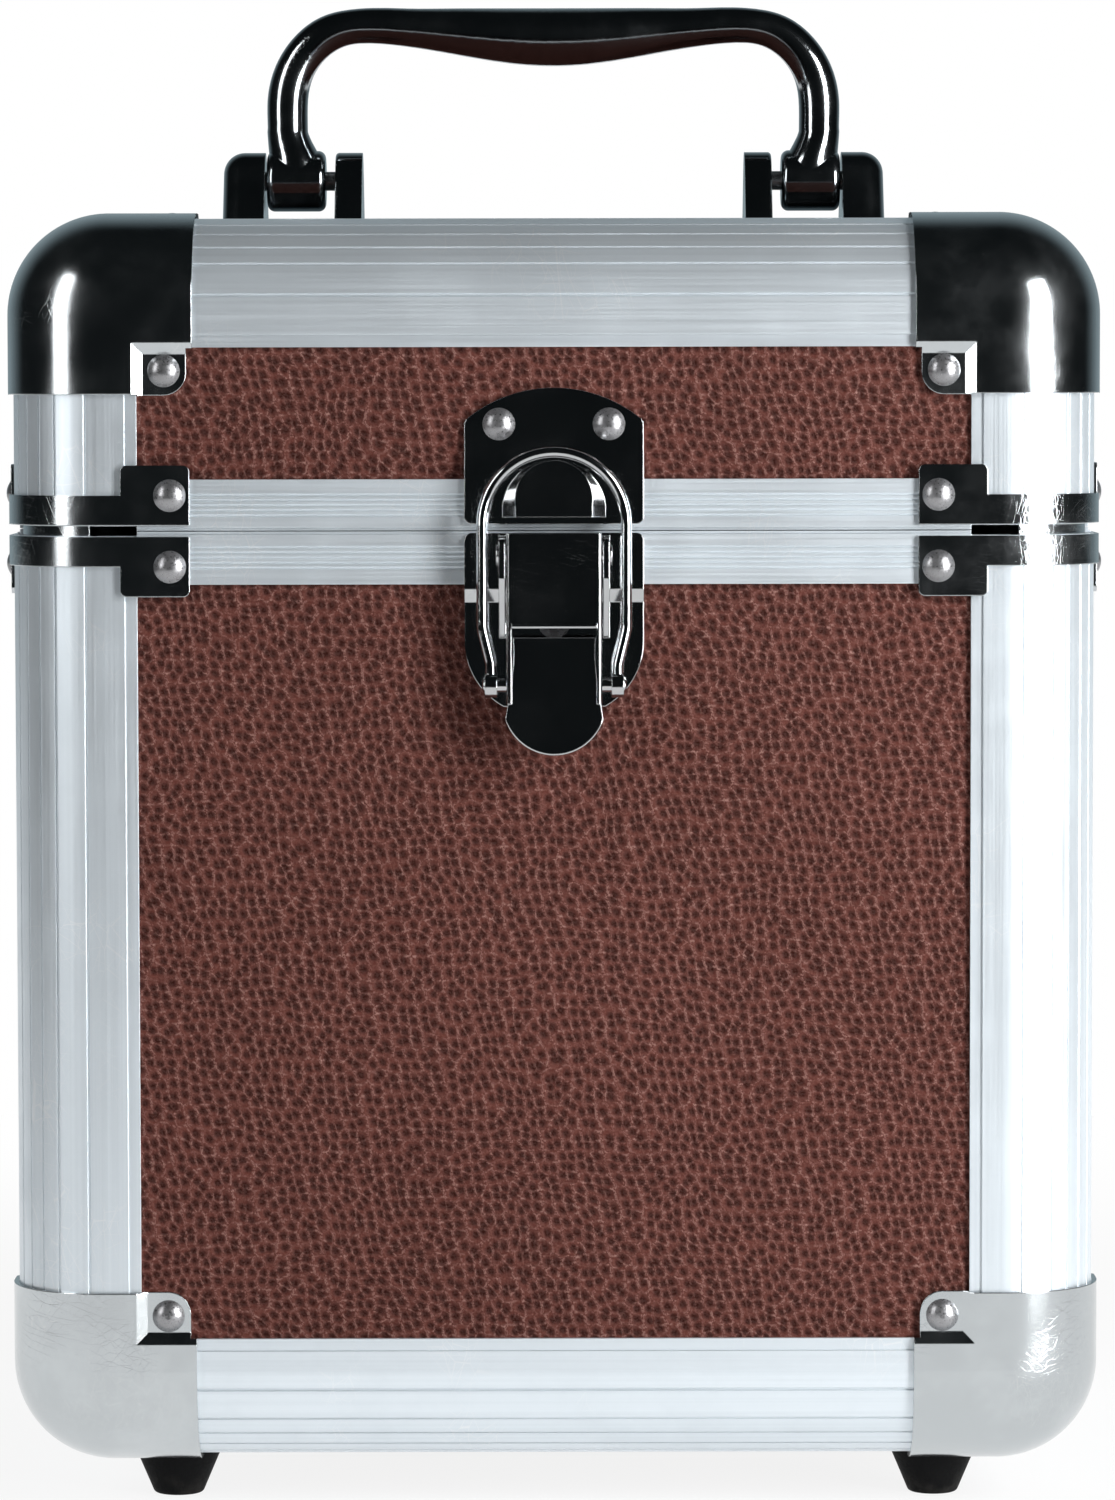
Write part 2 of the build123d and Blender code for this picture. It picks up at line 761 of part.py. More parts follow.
# Latch plate on the base with the two ears that carry the lever's pivot
def make_latch_plate():
    cut_reach = 2 * hook_height
    with BuildPart() as plate:
        heights = (latch_plate_top, latch_joggle_high, latch_joggle_low, latch_plate_bottom)
        extrude(joggled_section(-1, -1, heights, -plate_half_width), amount=2 * plate_half_width)
        with BuildSketch(front_plane(cut_reach)) as outline:
            with BuildLine():
                drops = (latch_plate_top, latch_plate_side, latch_plate_bottom)
                top, side, low = (seam_z - drop for drop in drops)
                Polyline(
                    (-plate_half_width, side),
                    (-plate_half_width, top),
                    (plate_half_width, top),
                    (plate_half_width, side),
                )
                right = TangentArc((plate_half_width, side), (latch_plate_foot, low), tangent=(0, -1))
                left = TangentArc((-plate_half_width, side), (-latch_plate_foot, low), tangent=(0, -1))
                Line(right @ 1, left @ 1)
            make_face()
            fillet(outline.vertices().group_by(Axis.Y)[-1], keeper_corner_radius)
            with Locations(*latch_places):
                Circle(rivet_shank_radius + rivet_play, mode=Mode.SUBTRACT)
        extrude(amount=-2 * cut_reach, mode=Mode.INTERSECT)
        for side in SIDES:
            near = min(side * ear_near, side * ear_far)
            with BuildSketch(Plane.YZ.offset(near)) as ear:
                with BuildLine():
                    Polyline(
                        *side_points(
                            (plate_wall / 2, ear_top),
                            (ear_crown, ear_top),
                            (ear_crown, ear_shoulder_drop),
                            (ear_foot_reach, ear_bottom),
                            (plate_on_board + plate_wall / 2, ear_bottom),
                            (plate_on_board + plate_wall / 2, latch_joggle_low),
                            (plate_wall / 2, latch_joggle_high),
                        ),
                        close=True,
                    )
                make_face()
                crown = side_points((ear_crown, ear_top))[0]
                fillet(ear.vertices().sort_by_distance((*crown, 0))[0], ear_round)
                with Locations(*side_points((pivot_reach, pivot_drop))):
                    Circle(pivot_pin_radius + pin_play, mode=Mode.SUBTRACT)
            extrude(amount=ear_wall)
    save(plate, "latch_plate")


# Sunk between the ears: a channel whose skin covers the top, with a tab to pull on below.
# The flanges carry the pivot at the top and the cross pin of the bail further down.
def make_lever():
    inside = lever_face - lever_wall
    tab_lean = (tab_inner_bottom - tab_inner_top) / (tab_bottom - tab_top)
    with BuildPart() as tab:
        with BuildSketch(front_plane()):
            with BuildLine():
                right = [
                    (tab_half_top, seam_z - tab_top),
                    (tab_half_waist, seam_z - tab_waist_drop),
                    (tab_half_side, seam_z - tab_side_drop),
                    (tab_half_flare, seam_z - tab_flare_drop),
                ]
                left = [(-x, z) for x, z in reversed(right)]
                Spline(*right)
                ThreePointArc(right[-1], (0, seam_z - tab_bottom), left[0])
                Spline(*left)
                Line(left[-1], right[0])
            make_face()
        extrude(amount=2 * lever_face)
        with BuildSketch(Plane.YZ.offset(-tab_half_flare)):
            with BuildLine():
                low_drop = tab_bottom + lever_wall
                low_reach = tab_inner_bottom + tab_lean * lever_wall
                Polyline(
                    *side_points(
                        (tab_inner_top, tab_top),
                        (tab_inner_top + lever_wall, tab_top),
                        (low_reach + lever_wall, low_drop),
                        (low_reach, low_drop),
                    ),
                    close=True,
                )
            make_face()
        extrude(amount=2 * tab_half_flare, mode=Mode.INTERSECT)
        fillet(tab.faces().sort_by(Axis.Y)[0].edges(), tab_round)
    with BuildPart() as lever:
        with BuildSketch(Plane.YZ.offset(-lever_half_width)):
            with BuildLine():
                Polyline(
                    *side_points(
                        (lever_face, lever_top),
                        (pivot_reach, lever_top),
                        (lever_inner_edge, flange_neck_drop),
                        (lever_inner_edge, cross_pin_drop),
                        (bail_reach, lever_flange_bottom),
                        (lever_face, lever_flange_bottom),
                    ),
                    close=True,
                )
            make_face()
            with Locations(*side_points((pivot_reach, pivot_drop))):
                Circle(pivot_boss_radius)
            with Locations(*side_points((bail_reach, cross_pin_drop))):
                Circle(cross_boss_radius)
        extrude(amount=2 * lever_half_width)
        corners = lever.edges().filter_by(Axis.Z).group_by(Axis.Y)[0]
        fillet(corners, lever_edge_round)
        inner_half = lever_half_width - lever_wall
        with BuildSketch(Plane.YZ.offset(-inner_half)):
            with BuildLine():
                Polyline(
                    *side_points(
                        (0, 0),
                        (inside, 0),
                        (inside, lever_skin_bottom),
                        (2 * lever_face, lever_skin_bottom),
                        (2 * lever_face, tab_bottom),
                        (0, tab_bottom),
                    ),
                    close=True,
                )
            make_face()
        extrude(amount=2 * inner_half, mode=Mode.SUBTRACT)
        with BuildSketch(Plane.YZ.offset(-inner_half)):
            with Locations(*side_points((lever_face, lever_skin_bottom - lever_lip))):
                Circle(lever_lip)
        extrude(amount=2 * inner_half)
        add(tab.part)
        for reach, drop, radius in (
            (pivot_reach, pivot_drop, pivot_pin_radius),
            (bail_reach, cross_pin_drop, cross_pin_radius),
        ):
            with BuildSketch(Plane.YZ.offset(-lever_half_width)):
                with Locations(*side_points((reach, drop))):
                    Circle(radius + pin_play)
            extrude(amount=2 * lever_half_width, mode=Mode.SUBTRACT)
    save(lever, "latch_lever")


# A pin across the case: (radius, from, to) steps along X about one centre
def make_pin(centre, steps, edge_round, name):
    with BuildPart() as pin:
        for radius, low, high in steps:
            with BuildSketch(Plane.YZ.offset(low)):
                with Locations(centre):
                    Circle(radius)
            extrude(amount=high - low)
        ends = pin.edges().filter_by(GeomType.CIRCLE).group_by(Axis.X)
        fillet(ends[0] + ends[-1], edge_round)
    save(pin, name)


def make_latch_pins():
    head_end = ear_far + pivot_head_height
    pivot_steps = [
        (pivot_pin_radius, -ear_far, ear_far),
        (pivot_head_radius, -head_end, -ear_far),
        (pivot_head_radius, ear_far, head_end),
    ]
    cross_steps = [(cross_pin_radius, -bail_radius, bail_radius)]
    pivot, cross = side_points((pivot_reach, pivot_drop), (bail_reach, cross_pin_drop))
    make_pin(pivot, pivot_steps, pivot_head_height / 2, "latch_pivot_pin")
    make_pin(cross, cross_steps, cross_pin_radius / 2, "latch_cross_pin")


# Wire bail: an arch that goes over the hook, legs that jog inwards to eyes on the cross pin
def make_bail():
    shoulder = seam_z + bail_crown - bail_radius
    leg = [
        (-bail_end_half, cross_pin_z),
        (-bail_end_half, seam_z - bail_jog_low),
        (-bail_radius, seam_z - bail_jog_high),
        (-bail_radius, shoulder),
    ]
    eye_low = bail_end_half - bail_eye_thickness / 2
    eye_centre = side_points((bail_reach, cross_pin_drop))[0]
    with BuildPart() as bail:
        with BuildLine(front_plane(bail_reach)) as path:
            FilletPolyline(*leg, radius=bail_bend_radius)
            ThreePointArc(leg[-1], (0, seam_z + bail_crown), (bail_radius, shoulder))
            FilletPolyline(*[(-x, z) for x, z in reversed(leg)], radius=bail_bend_radius)
        with BuildSketch(Plane.XY.offset(cross_pin_z)):
            with Locations((-bail_end_half, eye_centre[0])):
                Circle(wire_radius)
        sweep(path=path.wires()[0])
        for low in (-eye_low - bail_eye_thickness, eye_low):
            with BuildSketch(Plane.YZ.offset(low)):
                with Locations(eye_centre):
                    Circle(bail_eye_radius)
            extrude(amount=bail_eye_thickness)
        with BuildSketch(Plane.YZ.offset(-2 * bail_end_half)):
            with Locations(eye_centre):
                Circle(cross_pin_radius + pin_play)
        extrude(amount=4 * bail_end_half, mode=Mode.SUBTRACT)
    save(bail, "latch_bail")


# Hinge leaves of both back hinges; knuckles are (middle, length) along each hinge
def make_hinge_leaves(away, knuckles, name):
    cut_reach = 2 * hinge_knuckle_radius
    heights = (hinge_leaf_start, latch_joggle_high, latch_joggle_low, hinge_leaf_height)
    leaf_middle = seam_z + away * hinge_leaf_height / 2
    with BuildPart() as leaves:
        for side in SIDES:
            low = side * hinge_centre - hinge_width / 2
            extrude(joggled_section(1, away, heights, low), amount=hinge_width)
        with BuildSketch(back_plane(cut_reach)) as outline:
            with Locations((-hinge_centre, leaf_middle), (hinge_centre, leaf_middle)):
                Rectangle(hinge_width, hinge_leaf_height)
            fillet(outline.vertices().group_by(Axis.Y)[-1 if away > 0 else 0], hinge_corner_radius)
            with Locations(*hinge_places(away)):
                Circle(rivet_shank_radius + rivet_play, mode=Mode.SUBTRACT)
        extrude(amount=-2 * cut_reach, mode=Mode.INTERSECT)
        for side in SIDES:
            for middle, length in knuckles:
                with BuildSketch(Plane.YZ.offset(side * hinge_centre + middle - length / 2)):
                    with Locations((half_depth + plate_wall / 2, seam_z + away * hinge_leaf_start / 2)):
                        Rectangle(plate_wall, hinge_leaf_start)
                    with Locations((hinge_axis_y, seam_z)):
                        Circle(hinge_knuckle_radius)
                        Circle(hinge_pin_radius + pin_play, mode=Mode.SUBTRACT)
                extrude(amount=length)
    save(leaves, name)


def make_hinges():
    outer_middle = (hinge_width - hinge_knuckle_length) / 2
    middle_length = hinge_width - 2 * hinge_knuckle_length - 2 * hinge_knuckle_play
    outer_knuckles = [(-outer_middle, hinge_knuckle_length), (outer_middle, hinge_knuckle_length)]
    make_hinge_leaves(-1, outer_knuckles, "hinge_lower_leaves")
    make_hinge_leaves(1, [(0, middle_length)], "hinge_upper_leaves")
    with BuildPart() as pins:
        for side in SIDES:
            with BuildSketch(Plane.YZ.offset(side * hinge_centre - hinge_width / 2)):
                with Locations((hinge_axis_y, seam_z)):
                    Circle(hinge_pin_radius)
            extrude(amount=hinge_width)
    save(pins, "hinge_pins")


# Handle centreline from the right foot over the top: (x, height, lean in degrees from
# upright, half thickness, half depth)
def handle_stations():
    bend_height = handle_top - handle_neck_radius - handle_straight_top
    bend_width = handle_arm_centre - handle_bend_end
    belly = handle_grip_height / 2 - handle_neck_radius
    right = [(handle_arm_centre, handle_foot_flare, upright, handle_arm_radius, handle_arm_radius)]
    for step in range(5):
        turn = step * pi / 8
        radius = handle_arm_radius + (handle_neck_radius - handle_arm_radius) * step / 4
        x = handle_bend_end + bend_width * cos(turn)
        z = handle_straight_top + bend_height * sin(turn)
        lean = degrees(atan2(bend_width * sin(turn), bend_height * cos(turn)))
        right.append((x, z, lean, radius, radius))
    for part in (0.75, 0.5, 0.25):
        swell = (1 + cos(pi * part)) / 2
        tall = handle_neck_radius + belly * swell
        deep = handle_neck_radius + (handle_grip_width / 2 - handle_neck_radius) * swell
        right.append((handle_bend_end * part, handle_top - tall, level, tall, deep))
    middle = (0, handle_top - handle_grip_height / 2, level, handle_grip_height / 2, handle_grip_width / 2)
    left = [(-x, z, 2 * level - lean, tall, deep) for x, z, lean, tall, deep in reversed(right)]
    return [*right, middle, *left]


# A foot of the handle: a boot that widens from the arm into a knuckle with rounded rims
def make_foot(side):
    width = handle_foot_outer - handle_foot_inner
    middle = side * (handle_foot_outer + handle_foot_inner) / 2
    boot = (middle, width / 2 - handle_foot_waist, handle_foot_radius - handle_foot_waist)
    arm = (side * handle_arm_centre, handle_arm_radius, handle_arm_radius)
    halfway = [(low + high) / 2 for low, high in zip(boot, arm)]
    shoulder_z = top_z + handle_foot_shoulder
    flare_z = top_z + handle_foot_flare
    with BuildPart() as foot:
        for z, (x, wide, deep) in (
            (handle_pivot_z, boot),
            (shoulder_z, boot),
            ((shoulder_z + flare_z) / 2, halfway),
            (flare_z, arm),
        ):
            with BuildSketch(Plane.XY.offset(z)):
                with Locations((x, 0)):
                    Ellipse(wide, deep)
        loft()
    with BuildPart() as knuckle:
        with BuildSketch(Plane.YZ.offset(middle - width / 2)):
            with Locations((0, handle_pivot_z)):
                Circle(handle_foot_radius)
        extrude(amount=width)
        fillet(knuckle.edges().filter_by(GeomType.CIRCLE), handle_foot_edge)
    return foot.part, knuckle.part


def make_handle():
    with BuildPart() as handle:
        for x, z, lean, tall, deep in handle_stations():
            heading = (-sin(radians(lean)), 0, cos(radians(lean)))
            with BuildSketch(Plane(origin=(x, 0, top_z + z), x_dir=(0, 1, 0), z_dir=heading)):
                Ellipse(deep, tall)
        loft()
        for side in SIDES:
            add(make_foot(side))
        with BuildSketch(Plane.YZ.offset(-handle_foot_outer)):
            with Locations((0, handle_pivot_z)):
                Circle(handle_pin_radius + pin_play)
        extrude(amount=2 * handle_foot_outer, mode=Mode.SUBTRACT)
    save(handle, "carry_handle")


# Profile of a bracket cheek: its flanks run from the base plate to the crown round the pin
def cheek_profile(x):
    rise = bracket_top_z - handle_pivot_z
    flank = (bracket_half_depth**2 + rise**2) ** 0.5
    turn = atan2(rise, bracket_half_depth) + acos(bracket_crown_radius / flank)
    side = bracket_crown_radius * cos(turn)
    height = handle_pivot_z + bracket_crown_radius * sin(turn)
    with BuildSketch(Plane.YZ.offset(x)) as profile:
        with BuildLine():
            Polyline(
                (side, height),
                (bracket_half_depth, bracket_top_z),
                (bracket_half_depth, top_z),
                (-bracket_half_depth, top_z),
                (-bracket_half_depth, bracket_top_z),
                (-side, height),
            )
            ThreePointArc((-side, height), (0, handle_pivot_z + bracket_crown_radius), (side, height))
        make_face()
    return profile.sketch


def make_brackets():
    seat_z = top_z - board_face
    width = bracket_outer - bracket_inner
    pin_far = bracket_outer - bracket_pin_cover
    with BuildPart() as cheeks:
        for low, high, crown in (
            (bracket_inner, bracket_inner_cheek, bracket_edge_round),
            (bracket_outer_cheek, bracket_outer, bracket_outer_round),
        ):
            extrude(cheek_profile(low), amount=high - low)
            rim = cheeks.faces().filter_by(Axis.X).sort_by(Axis.X)[-1].edges()
            fillet(rim.filter_by_position(Axis.Z, bracket_top_z, top_z + bracket_outer), crown)
        with BuildSketch(Plane.XY.offset(seat_z)):
            with Locations((bracket_inner + width / 2, 0)):
                Rectangle(width, 2 * bracket_half_depth)
        extrude(amount=bracket_base_height)
        with BuildSketch(Plane.YZ.offset(bracket_inner)):
            with Locations((0, handle_pivot_z)):
                Circle(handle_pin_radius + pin_play)
        extrude(amount=pin_far - bracket_inner, mode=Mode.SUBTRACT)
        with BuildSketch(Plane.XY.offset(seat_z)):
            with Locations((inner_cheek_middle, 0), (outer_cheek_middle, 0)):
                Circle(bracket_screw_radius + rivet_play)
        extrude(amount=bracket_screw_bite, mode=Mode.SUBTRACT)
    with BuildPart() as brackets:
        add(cheeks.part)
        mirror(cheeks.part, about=Plane.YZ)
    save(brackets, "handle_brackets")
    with BuildPart() as pins:
        for low in (bracket_inner, -pin_far):
            with BuildSketch(Plane.YZ.offset(low)):
                with Locations((0, handle_pivot_z)):
                    Circle(handle_pin_radius)
            extrude(amount=pin_far - bracket_inner)
    save(pins, "handle_pins")
    head_z = top_z - board_back
    with BuildPart() as screws:
        for radius, low, high in (
            (bracket_screw_head_radius, head_z - bracket_screw_head_height, head_z),
            (bracket_screw_radius, head_z, seat_z + bracket_screw_bite),
        ):
            with BuildSketch(Plane.XY.offset(low)):
                with Locations(*bracket_screw_places):
                    Circle(radius)
            extrude(amount=high - low)
    save(screws, "handle_screws")


make_posts(bottom_z + edge_width, seam_z - post_gap, "base_posts")
make_posts(seam_z + post_gap, top_z - edge_width, "lid_posts")
make_edges(bottom_z, 1, "bottom")
make_edges(top_z, -1, "top")
make_rails(-1, base_rail_height, True, "base")
make_rails(1, lid_rail_height, False, "lid")
make_rim_corners()
make_boards()
make_caps()
make_straps(-1, "base_seam_straps")
make_straps(1, "lid_seam_straps")
make_rivets()
make_feet()
make_lining(bottom_z + leg_back, seam_z - rim_play - rail_web - lining_rim_play, True, "base_lining")
make_lining(seam_z + tongue_height + tongue_lining_play, top_z - leg_back, False, "lid_lining")
make_keeper()
make_latch_plate()
make_lever()
make_latch_pins()
make_bail()
make_hinges()
make_handle()
make_brackets()
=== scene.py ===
# %% [markdown]
# # Flight case with a toggle latch
# A small upright case: leatherette boards in an aluminium frame, chrome caps on the corners,
# a toggle latch in front and a folding handle on top. Its shapes could be modelled here a second
# time, but then picture and part could drift apart. They come from the CAD frame instead, in
# metres, and this script dresses them: finishes, light and camera.

# %% Load the frame
import json
import math
import bpy
from mathutils import Euler, Matrix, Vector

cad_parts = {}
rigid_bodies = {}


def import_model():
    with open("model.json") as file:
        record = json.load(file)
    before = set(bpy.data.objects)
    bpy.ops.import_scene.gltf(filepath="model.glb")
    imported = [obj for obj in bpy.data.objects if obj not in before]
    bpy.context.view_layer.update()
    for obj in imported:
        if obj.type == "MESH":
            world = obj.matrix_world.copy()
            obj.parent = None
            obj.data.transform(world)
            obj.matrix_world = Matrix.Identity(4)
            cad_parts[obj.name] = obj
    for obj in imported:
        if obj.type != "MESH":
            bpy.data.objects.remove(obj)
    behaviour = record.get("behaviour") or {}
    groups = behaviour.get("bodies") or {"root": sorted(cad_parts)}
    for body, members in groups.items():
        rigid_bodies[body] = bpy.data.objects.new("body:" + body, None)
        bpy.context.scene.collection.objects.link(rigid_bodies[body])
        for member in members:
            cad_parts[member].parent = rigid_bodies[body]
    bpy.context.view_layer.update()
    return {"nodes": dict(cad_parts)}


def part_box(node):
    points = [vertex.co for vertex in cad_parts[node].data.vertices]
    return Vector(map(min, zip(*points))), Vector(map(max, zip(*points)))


for leftover in list(bpy.data.objects):
    bpy.data.objects.remove(leftover)
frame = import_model()
nodes = frame["nodes"]
scene = bpy.context.scene
scene.view_settings.view_transform = "Standard"

# %% [markdown]
# Small helpers for node trees. A tree could be clicked together by hand, but as code it can be
# read, repeated and changed by one number. A value given as a socket is linked and anything else
# is set, so each helper takes a pattern or a plain number alike. A blend takes colours of three
# numbers and adds the fourth that Blender asks for. Noise lies mostly between 0.3 and 0.7, and
# spread stretches it over the range that is wanted.

# %% Node helpers
NOISE_LOW, NOISE_HIGH = 0.3, 0.7


def feed(tree, socket, value):
    if isinstance(value, bpy.types.NodeSocket):
        tree.links.new(value, socket)
    else:
        socket.default_value = value


def put(tree, kind, settings=None, **inputs):
    node = tree.nodes.new(kind)
    for key, value in (settings or {}).items():
        setattr(node, key, value)
    for key, value in inputs.items():
        numbered = key[0] == "i" and key[1:].isdigit()
        feed(tree, node.inputs[int(key[1:]) if numbered else key.replace("_", " ")], value)
    return node


def maths(tree, operation, *values):
    inputs = {f"i{number}": value for number, value in enumerate(values)}
    return put(tree, "ShaderNodeMath", {"operation": operation}, **inputs).outputs[0]


def times(tree, first, second):
    return maths(tree, "MULTIPLY", first, second)


def vector_maths(tree, operation, **inputs):
    return put(tree, "ShaderNodeVectorMath", {"operation": operation}, **inputs).outputs


def split(tree, vector):
    return put(tree, "ShaderNodeSeparateXYZ", Vector=vector).outputs


def remap(tree, value, low, high, to_low=0.0, to_high=1.0):
    node = put(
        tree, "ShaderNodeMapRange", {"interpolation_type": "SMOOTHSTEP"},
        Value=value, From_Min=low, From_Max=high, To_Min=to_low, To_Max=to_high,
    )
    return node.outputs["Result"]


def spread(tree, field, low, high):
    return remap(tree, field, NOISE_LOW, NOISE_HIGH, low, high)


def noise(tree, vector, scale, detail=2.0, roughness=0.5):
    node = put(tree, "ShaderNodeTexNoise", Vector=vector, Scale=scale, Detail=detail, Roughness=roughness)
    return node.outputs["Fac"]


def blend(tree, factor, first, second):
    ends = [end + (1,) if isinstance(end, tuple) else end for end in (first, second)]
    return put(tree, "ShaderNodeMix", {"data_type": "RGBA"}, i0=factor, i6=ends[0], i7=ends[1]).outputs[2]


def lay_over(tree, under, mask, amount, colour):
    return blend(tree, times(tree, mask, amount), under, colour)


print("helpers: feed, put, maths, times, vector_maths, split, remap, spread, noise, blend")

# %% [markdown]
# An effect that several finishes share is a node group: built once, with named inputs, and
# placed in each material with its own values. It could be copied into each material, but then a
# correction would have to be made in every copy.

# %% Group helpers
FLOAT, VECTOR = "NodeSocketFloat", "NodeSocketVector"


def start_group(name, inputs, outputs):
    tree = bpy.data.node_groups.new(name, "ShaderNodeTree")
    for label, kind, default in inputs:
        socket = tree.interface.new_socket(label, in_out="INPUT", socket_type=kind)
        if default is not None:
            socket.default_value = default
    for label, kind in outputs:
        tree.interface.new_socket(label, in_out="OUTPUT", socket_type=kind)
    return tree, tree.nodes.new("NodeGroupInput"), tree.nodes.new("NodeGroupOutput")


def use_group(tree, group, **inputs):
    node = tree.nodes.new("ShaderNodeGroup")
    node.node_tree = group
    for key, value in inputs.items():
        feed(tree, node.inputs[key.replace("_", " ")], value)
    return node.outputs


def describe(group):
    gives = [item.name for item in group.interface.items_tree if item.in_out == "OUTPUT"]
    return f"{group.name} gives {', '.join(gives)}"


print("helpers: start_group, use_group, describe")

# %% [markdown]
# Embossed grain of the leatherette. The skin is vinyl pressed with a skin pattern: small round
# pits a little over 2 mm apart, a net of narrow ridges between them, and a finer wrinkle over all
# of it. The ridges are paler in specks: partly wear, partly a painted highlight where the side
# lamps catch the flanks left and right of each pit. A picture of grain could be wrapped on, but it
# repeats and blurs close up. Here two cell patterns draw it: the distance to the middle of a
# cell makes the pit, the distance to its edge makes the ridge. The rows lean a little and
# wander, as on a roll that was stretched when it was laid. X and Y of the vector lie in the skin.

# %% Group: embossed grain
PIT_WIDTH = 0.0021
PIT_LENGTH = 0.0023
ROW_LEAN = 0.2
WANDER_SCALE = 38.0
WANDER_ACROSS = 0.005
WANDER_UP = 0.004
PIT_SCATTER = 0.66
PIT_BLUR = 0.25
WRINKLE_SCALE = 2.6
WRINKLE_SHARE = 0.3
RIDGE_WIDTH = 0.2
RIDGE_PATCHES = 0.8
# Size of the specks where the ridges show pale: wear and painted glints.
RUBBED_AND_GLINT_SPECKS = 4.5
FINE_RIDGES = 0.12


def sway(tree, value, mask, amount):
    return maths(tree, "ADD", value, times(tree, maths(tree, "SUBTRACT", mask, 0.5), amount))


def flat_cells(tree, vector, feature, **inputs):
    settings = {"voronoi_dimensions": "2D", "feature": feature}
    node = put(tree, "ShaderNodeTexVoronoi", settings, Vector=vector, Scale=1.0, **inputs)
    feed(tree, node.inputs["Randomness"], PIT_SCATTER)
    return node.outputs


def embossed_grain():
    tree, start, end = start_group(
        "embossed_grain",
        [
            ("Vector", VECTOR, None), ("Pit Width", FLOAT, PIT_WIDTH),
            ("Pit Length", FLOAT, PIT_LENGTH), ("Lean", FLOAT, ROW_LEAN),
        ],
        [("Height", FLOAT), ("Pit", FLOAT), ("Ridge", FLOAT), ("Tone", FLOAT)],
    )
    skin = start.outputs["Vector"]
    place = split(tree, skin)
    drift = put(tree, "ShaderNodeTexNoise", Vector=skin, Scale=WANDER_SCALE, Detail=1.0).outputs["Color"]
    drift = put(tree, "ShaderNodeSeparateColor", Color=drift).outputs
    leaning = maths(tree, "ADD", place["X"], times(tree, place["Y"], start.outputs["Lean"]))
    across = sway(tree, leaning, drift[0], WANDER_ACROSS)
    up = sway(tree, place["Y"], drift[1], WANDER_UP)
    cell = put(
        tree, "ShaderNodeCombineXYZ",
        X=maths(tree, "DIVIDE", across, start.outputs["Pit Width"]),
        Y=maths(tree, "DIVIDE", up, start.outputs["Pit Length"]),
    ).outputs[0]
    pits = flat_cells(tree, cell, "SMOOTH_F1", Smoothness=PIT_BLUR)
    net = flat_cells(tree, cell, "DISTANCE_TO_EDGE")
    depth = sway(tree, pits["Distance"], noise(tree, cell, WRINKLE_SCALE, 3.0, 0.65), WRINKLE_SHARE)
    away = vector_maths(tree, "SUBTRACT", i0=cell, i1=pits["Position"])[0]
    sideways = maths(tree, "ABSOLUTE", split(tree, away)["X"])
    ridge = maths(tree, "SUBTRACT", 1.0, remap(tree, net["Distance"], 0.0, RIDGE_WIDTH))
    # The ridge is painted paler on the left and right of each pit, where the side lamps catch it: a
    # painted highlight.
    ridge = times(tree, ridge, remap(tree, sideways, 0.08, 0.42, 0.12, 1.0))
    ridge = times(tree, ridge, remap(tree, noise(tree, cell, RIDGE_PATCHES, 2.0), 0.3, 0.62, 0.35, 1.0))
    # Specks where the ridge shows pale: wear and painted glints.
    rubbed_and_glinting = remap(tree, noise(tree, cell, RUBBED_AND_GLINT_SPECKS, 2.0, 0.6), 0.38, 0.6)
    tone = put(tree, "ShaderNodeSeparateColor", Color=pits["Color"]).outputs[0]
    feed(tree, end.inputs["Height"], remap(tree, depth, 0.08, 0.62))
    feed(tree, end.inputs["Pit"], maths(tree, "SUBTRACT", 1.0, remap(tree, depth, 0.13, 0.5)))
    feed(tree, end.inputs["Ridge"], times(tree, maths(tree, "ADD", ridge, FINE_RIDGES), rubbed_and_glinting))
    feed(tree, end.inputs["Tone"], tone)
    return tree


GRAIN = embossed_grain()
print(describe(GRAIN))

# %% [markdown]
# Handling marks. Metal that is opened and carried every day picks up hairline scratches,
# finger smears and a little dust. They could be painted on piece by piece. A group of masks is
# quicker and fits every piece: a scratch is the thin wall between needle-shaped cells, kept in
# patches, a smear is a soft cloud, and dust is a field of tiny spots.

# %% Group: handling marks
SCRATCH_SIZE = 0.02
DUST_SIZE = 0.0015
NEEDLE = (14.0, 14.0, 0.6)
SCRATCH_TURNS = ((0.35, 0.018), (-0.5, 0.014), (1.3, 0.012))
WALL_SCALE = 0.5
SCRATCHED_PATCHES = 45.0
SMEAR_SCALE = 60.0
LARGEST_SPOT = 0.16


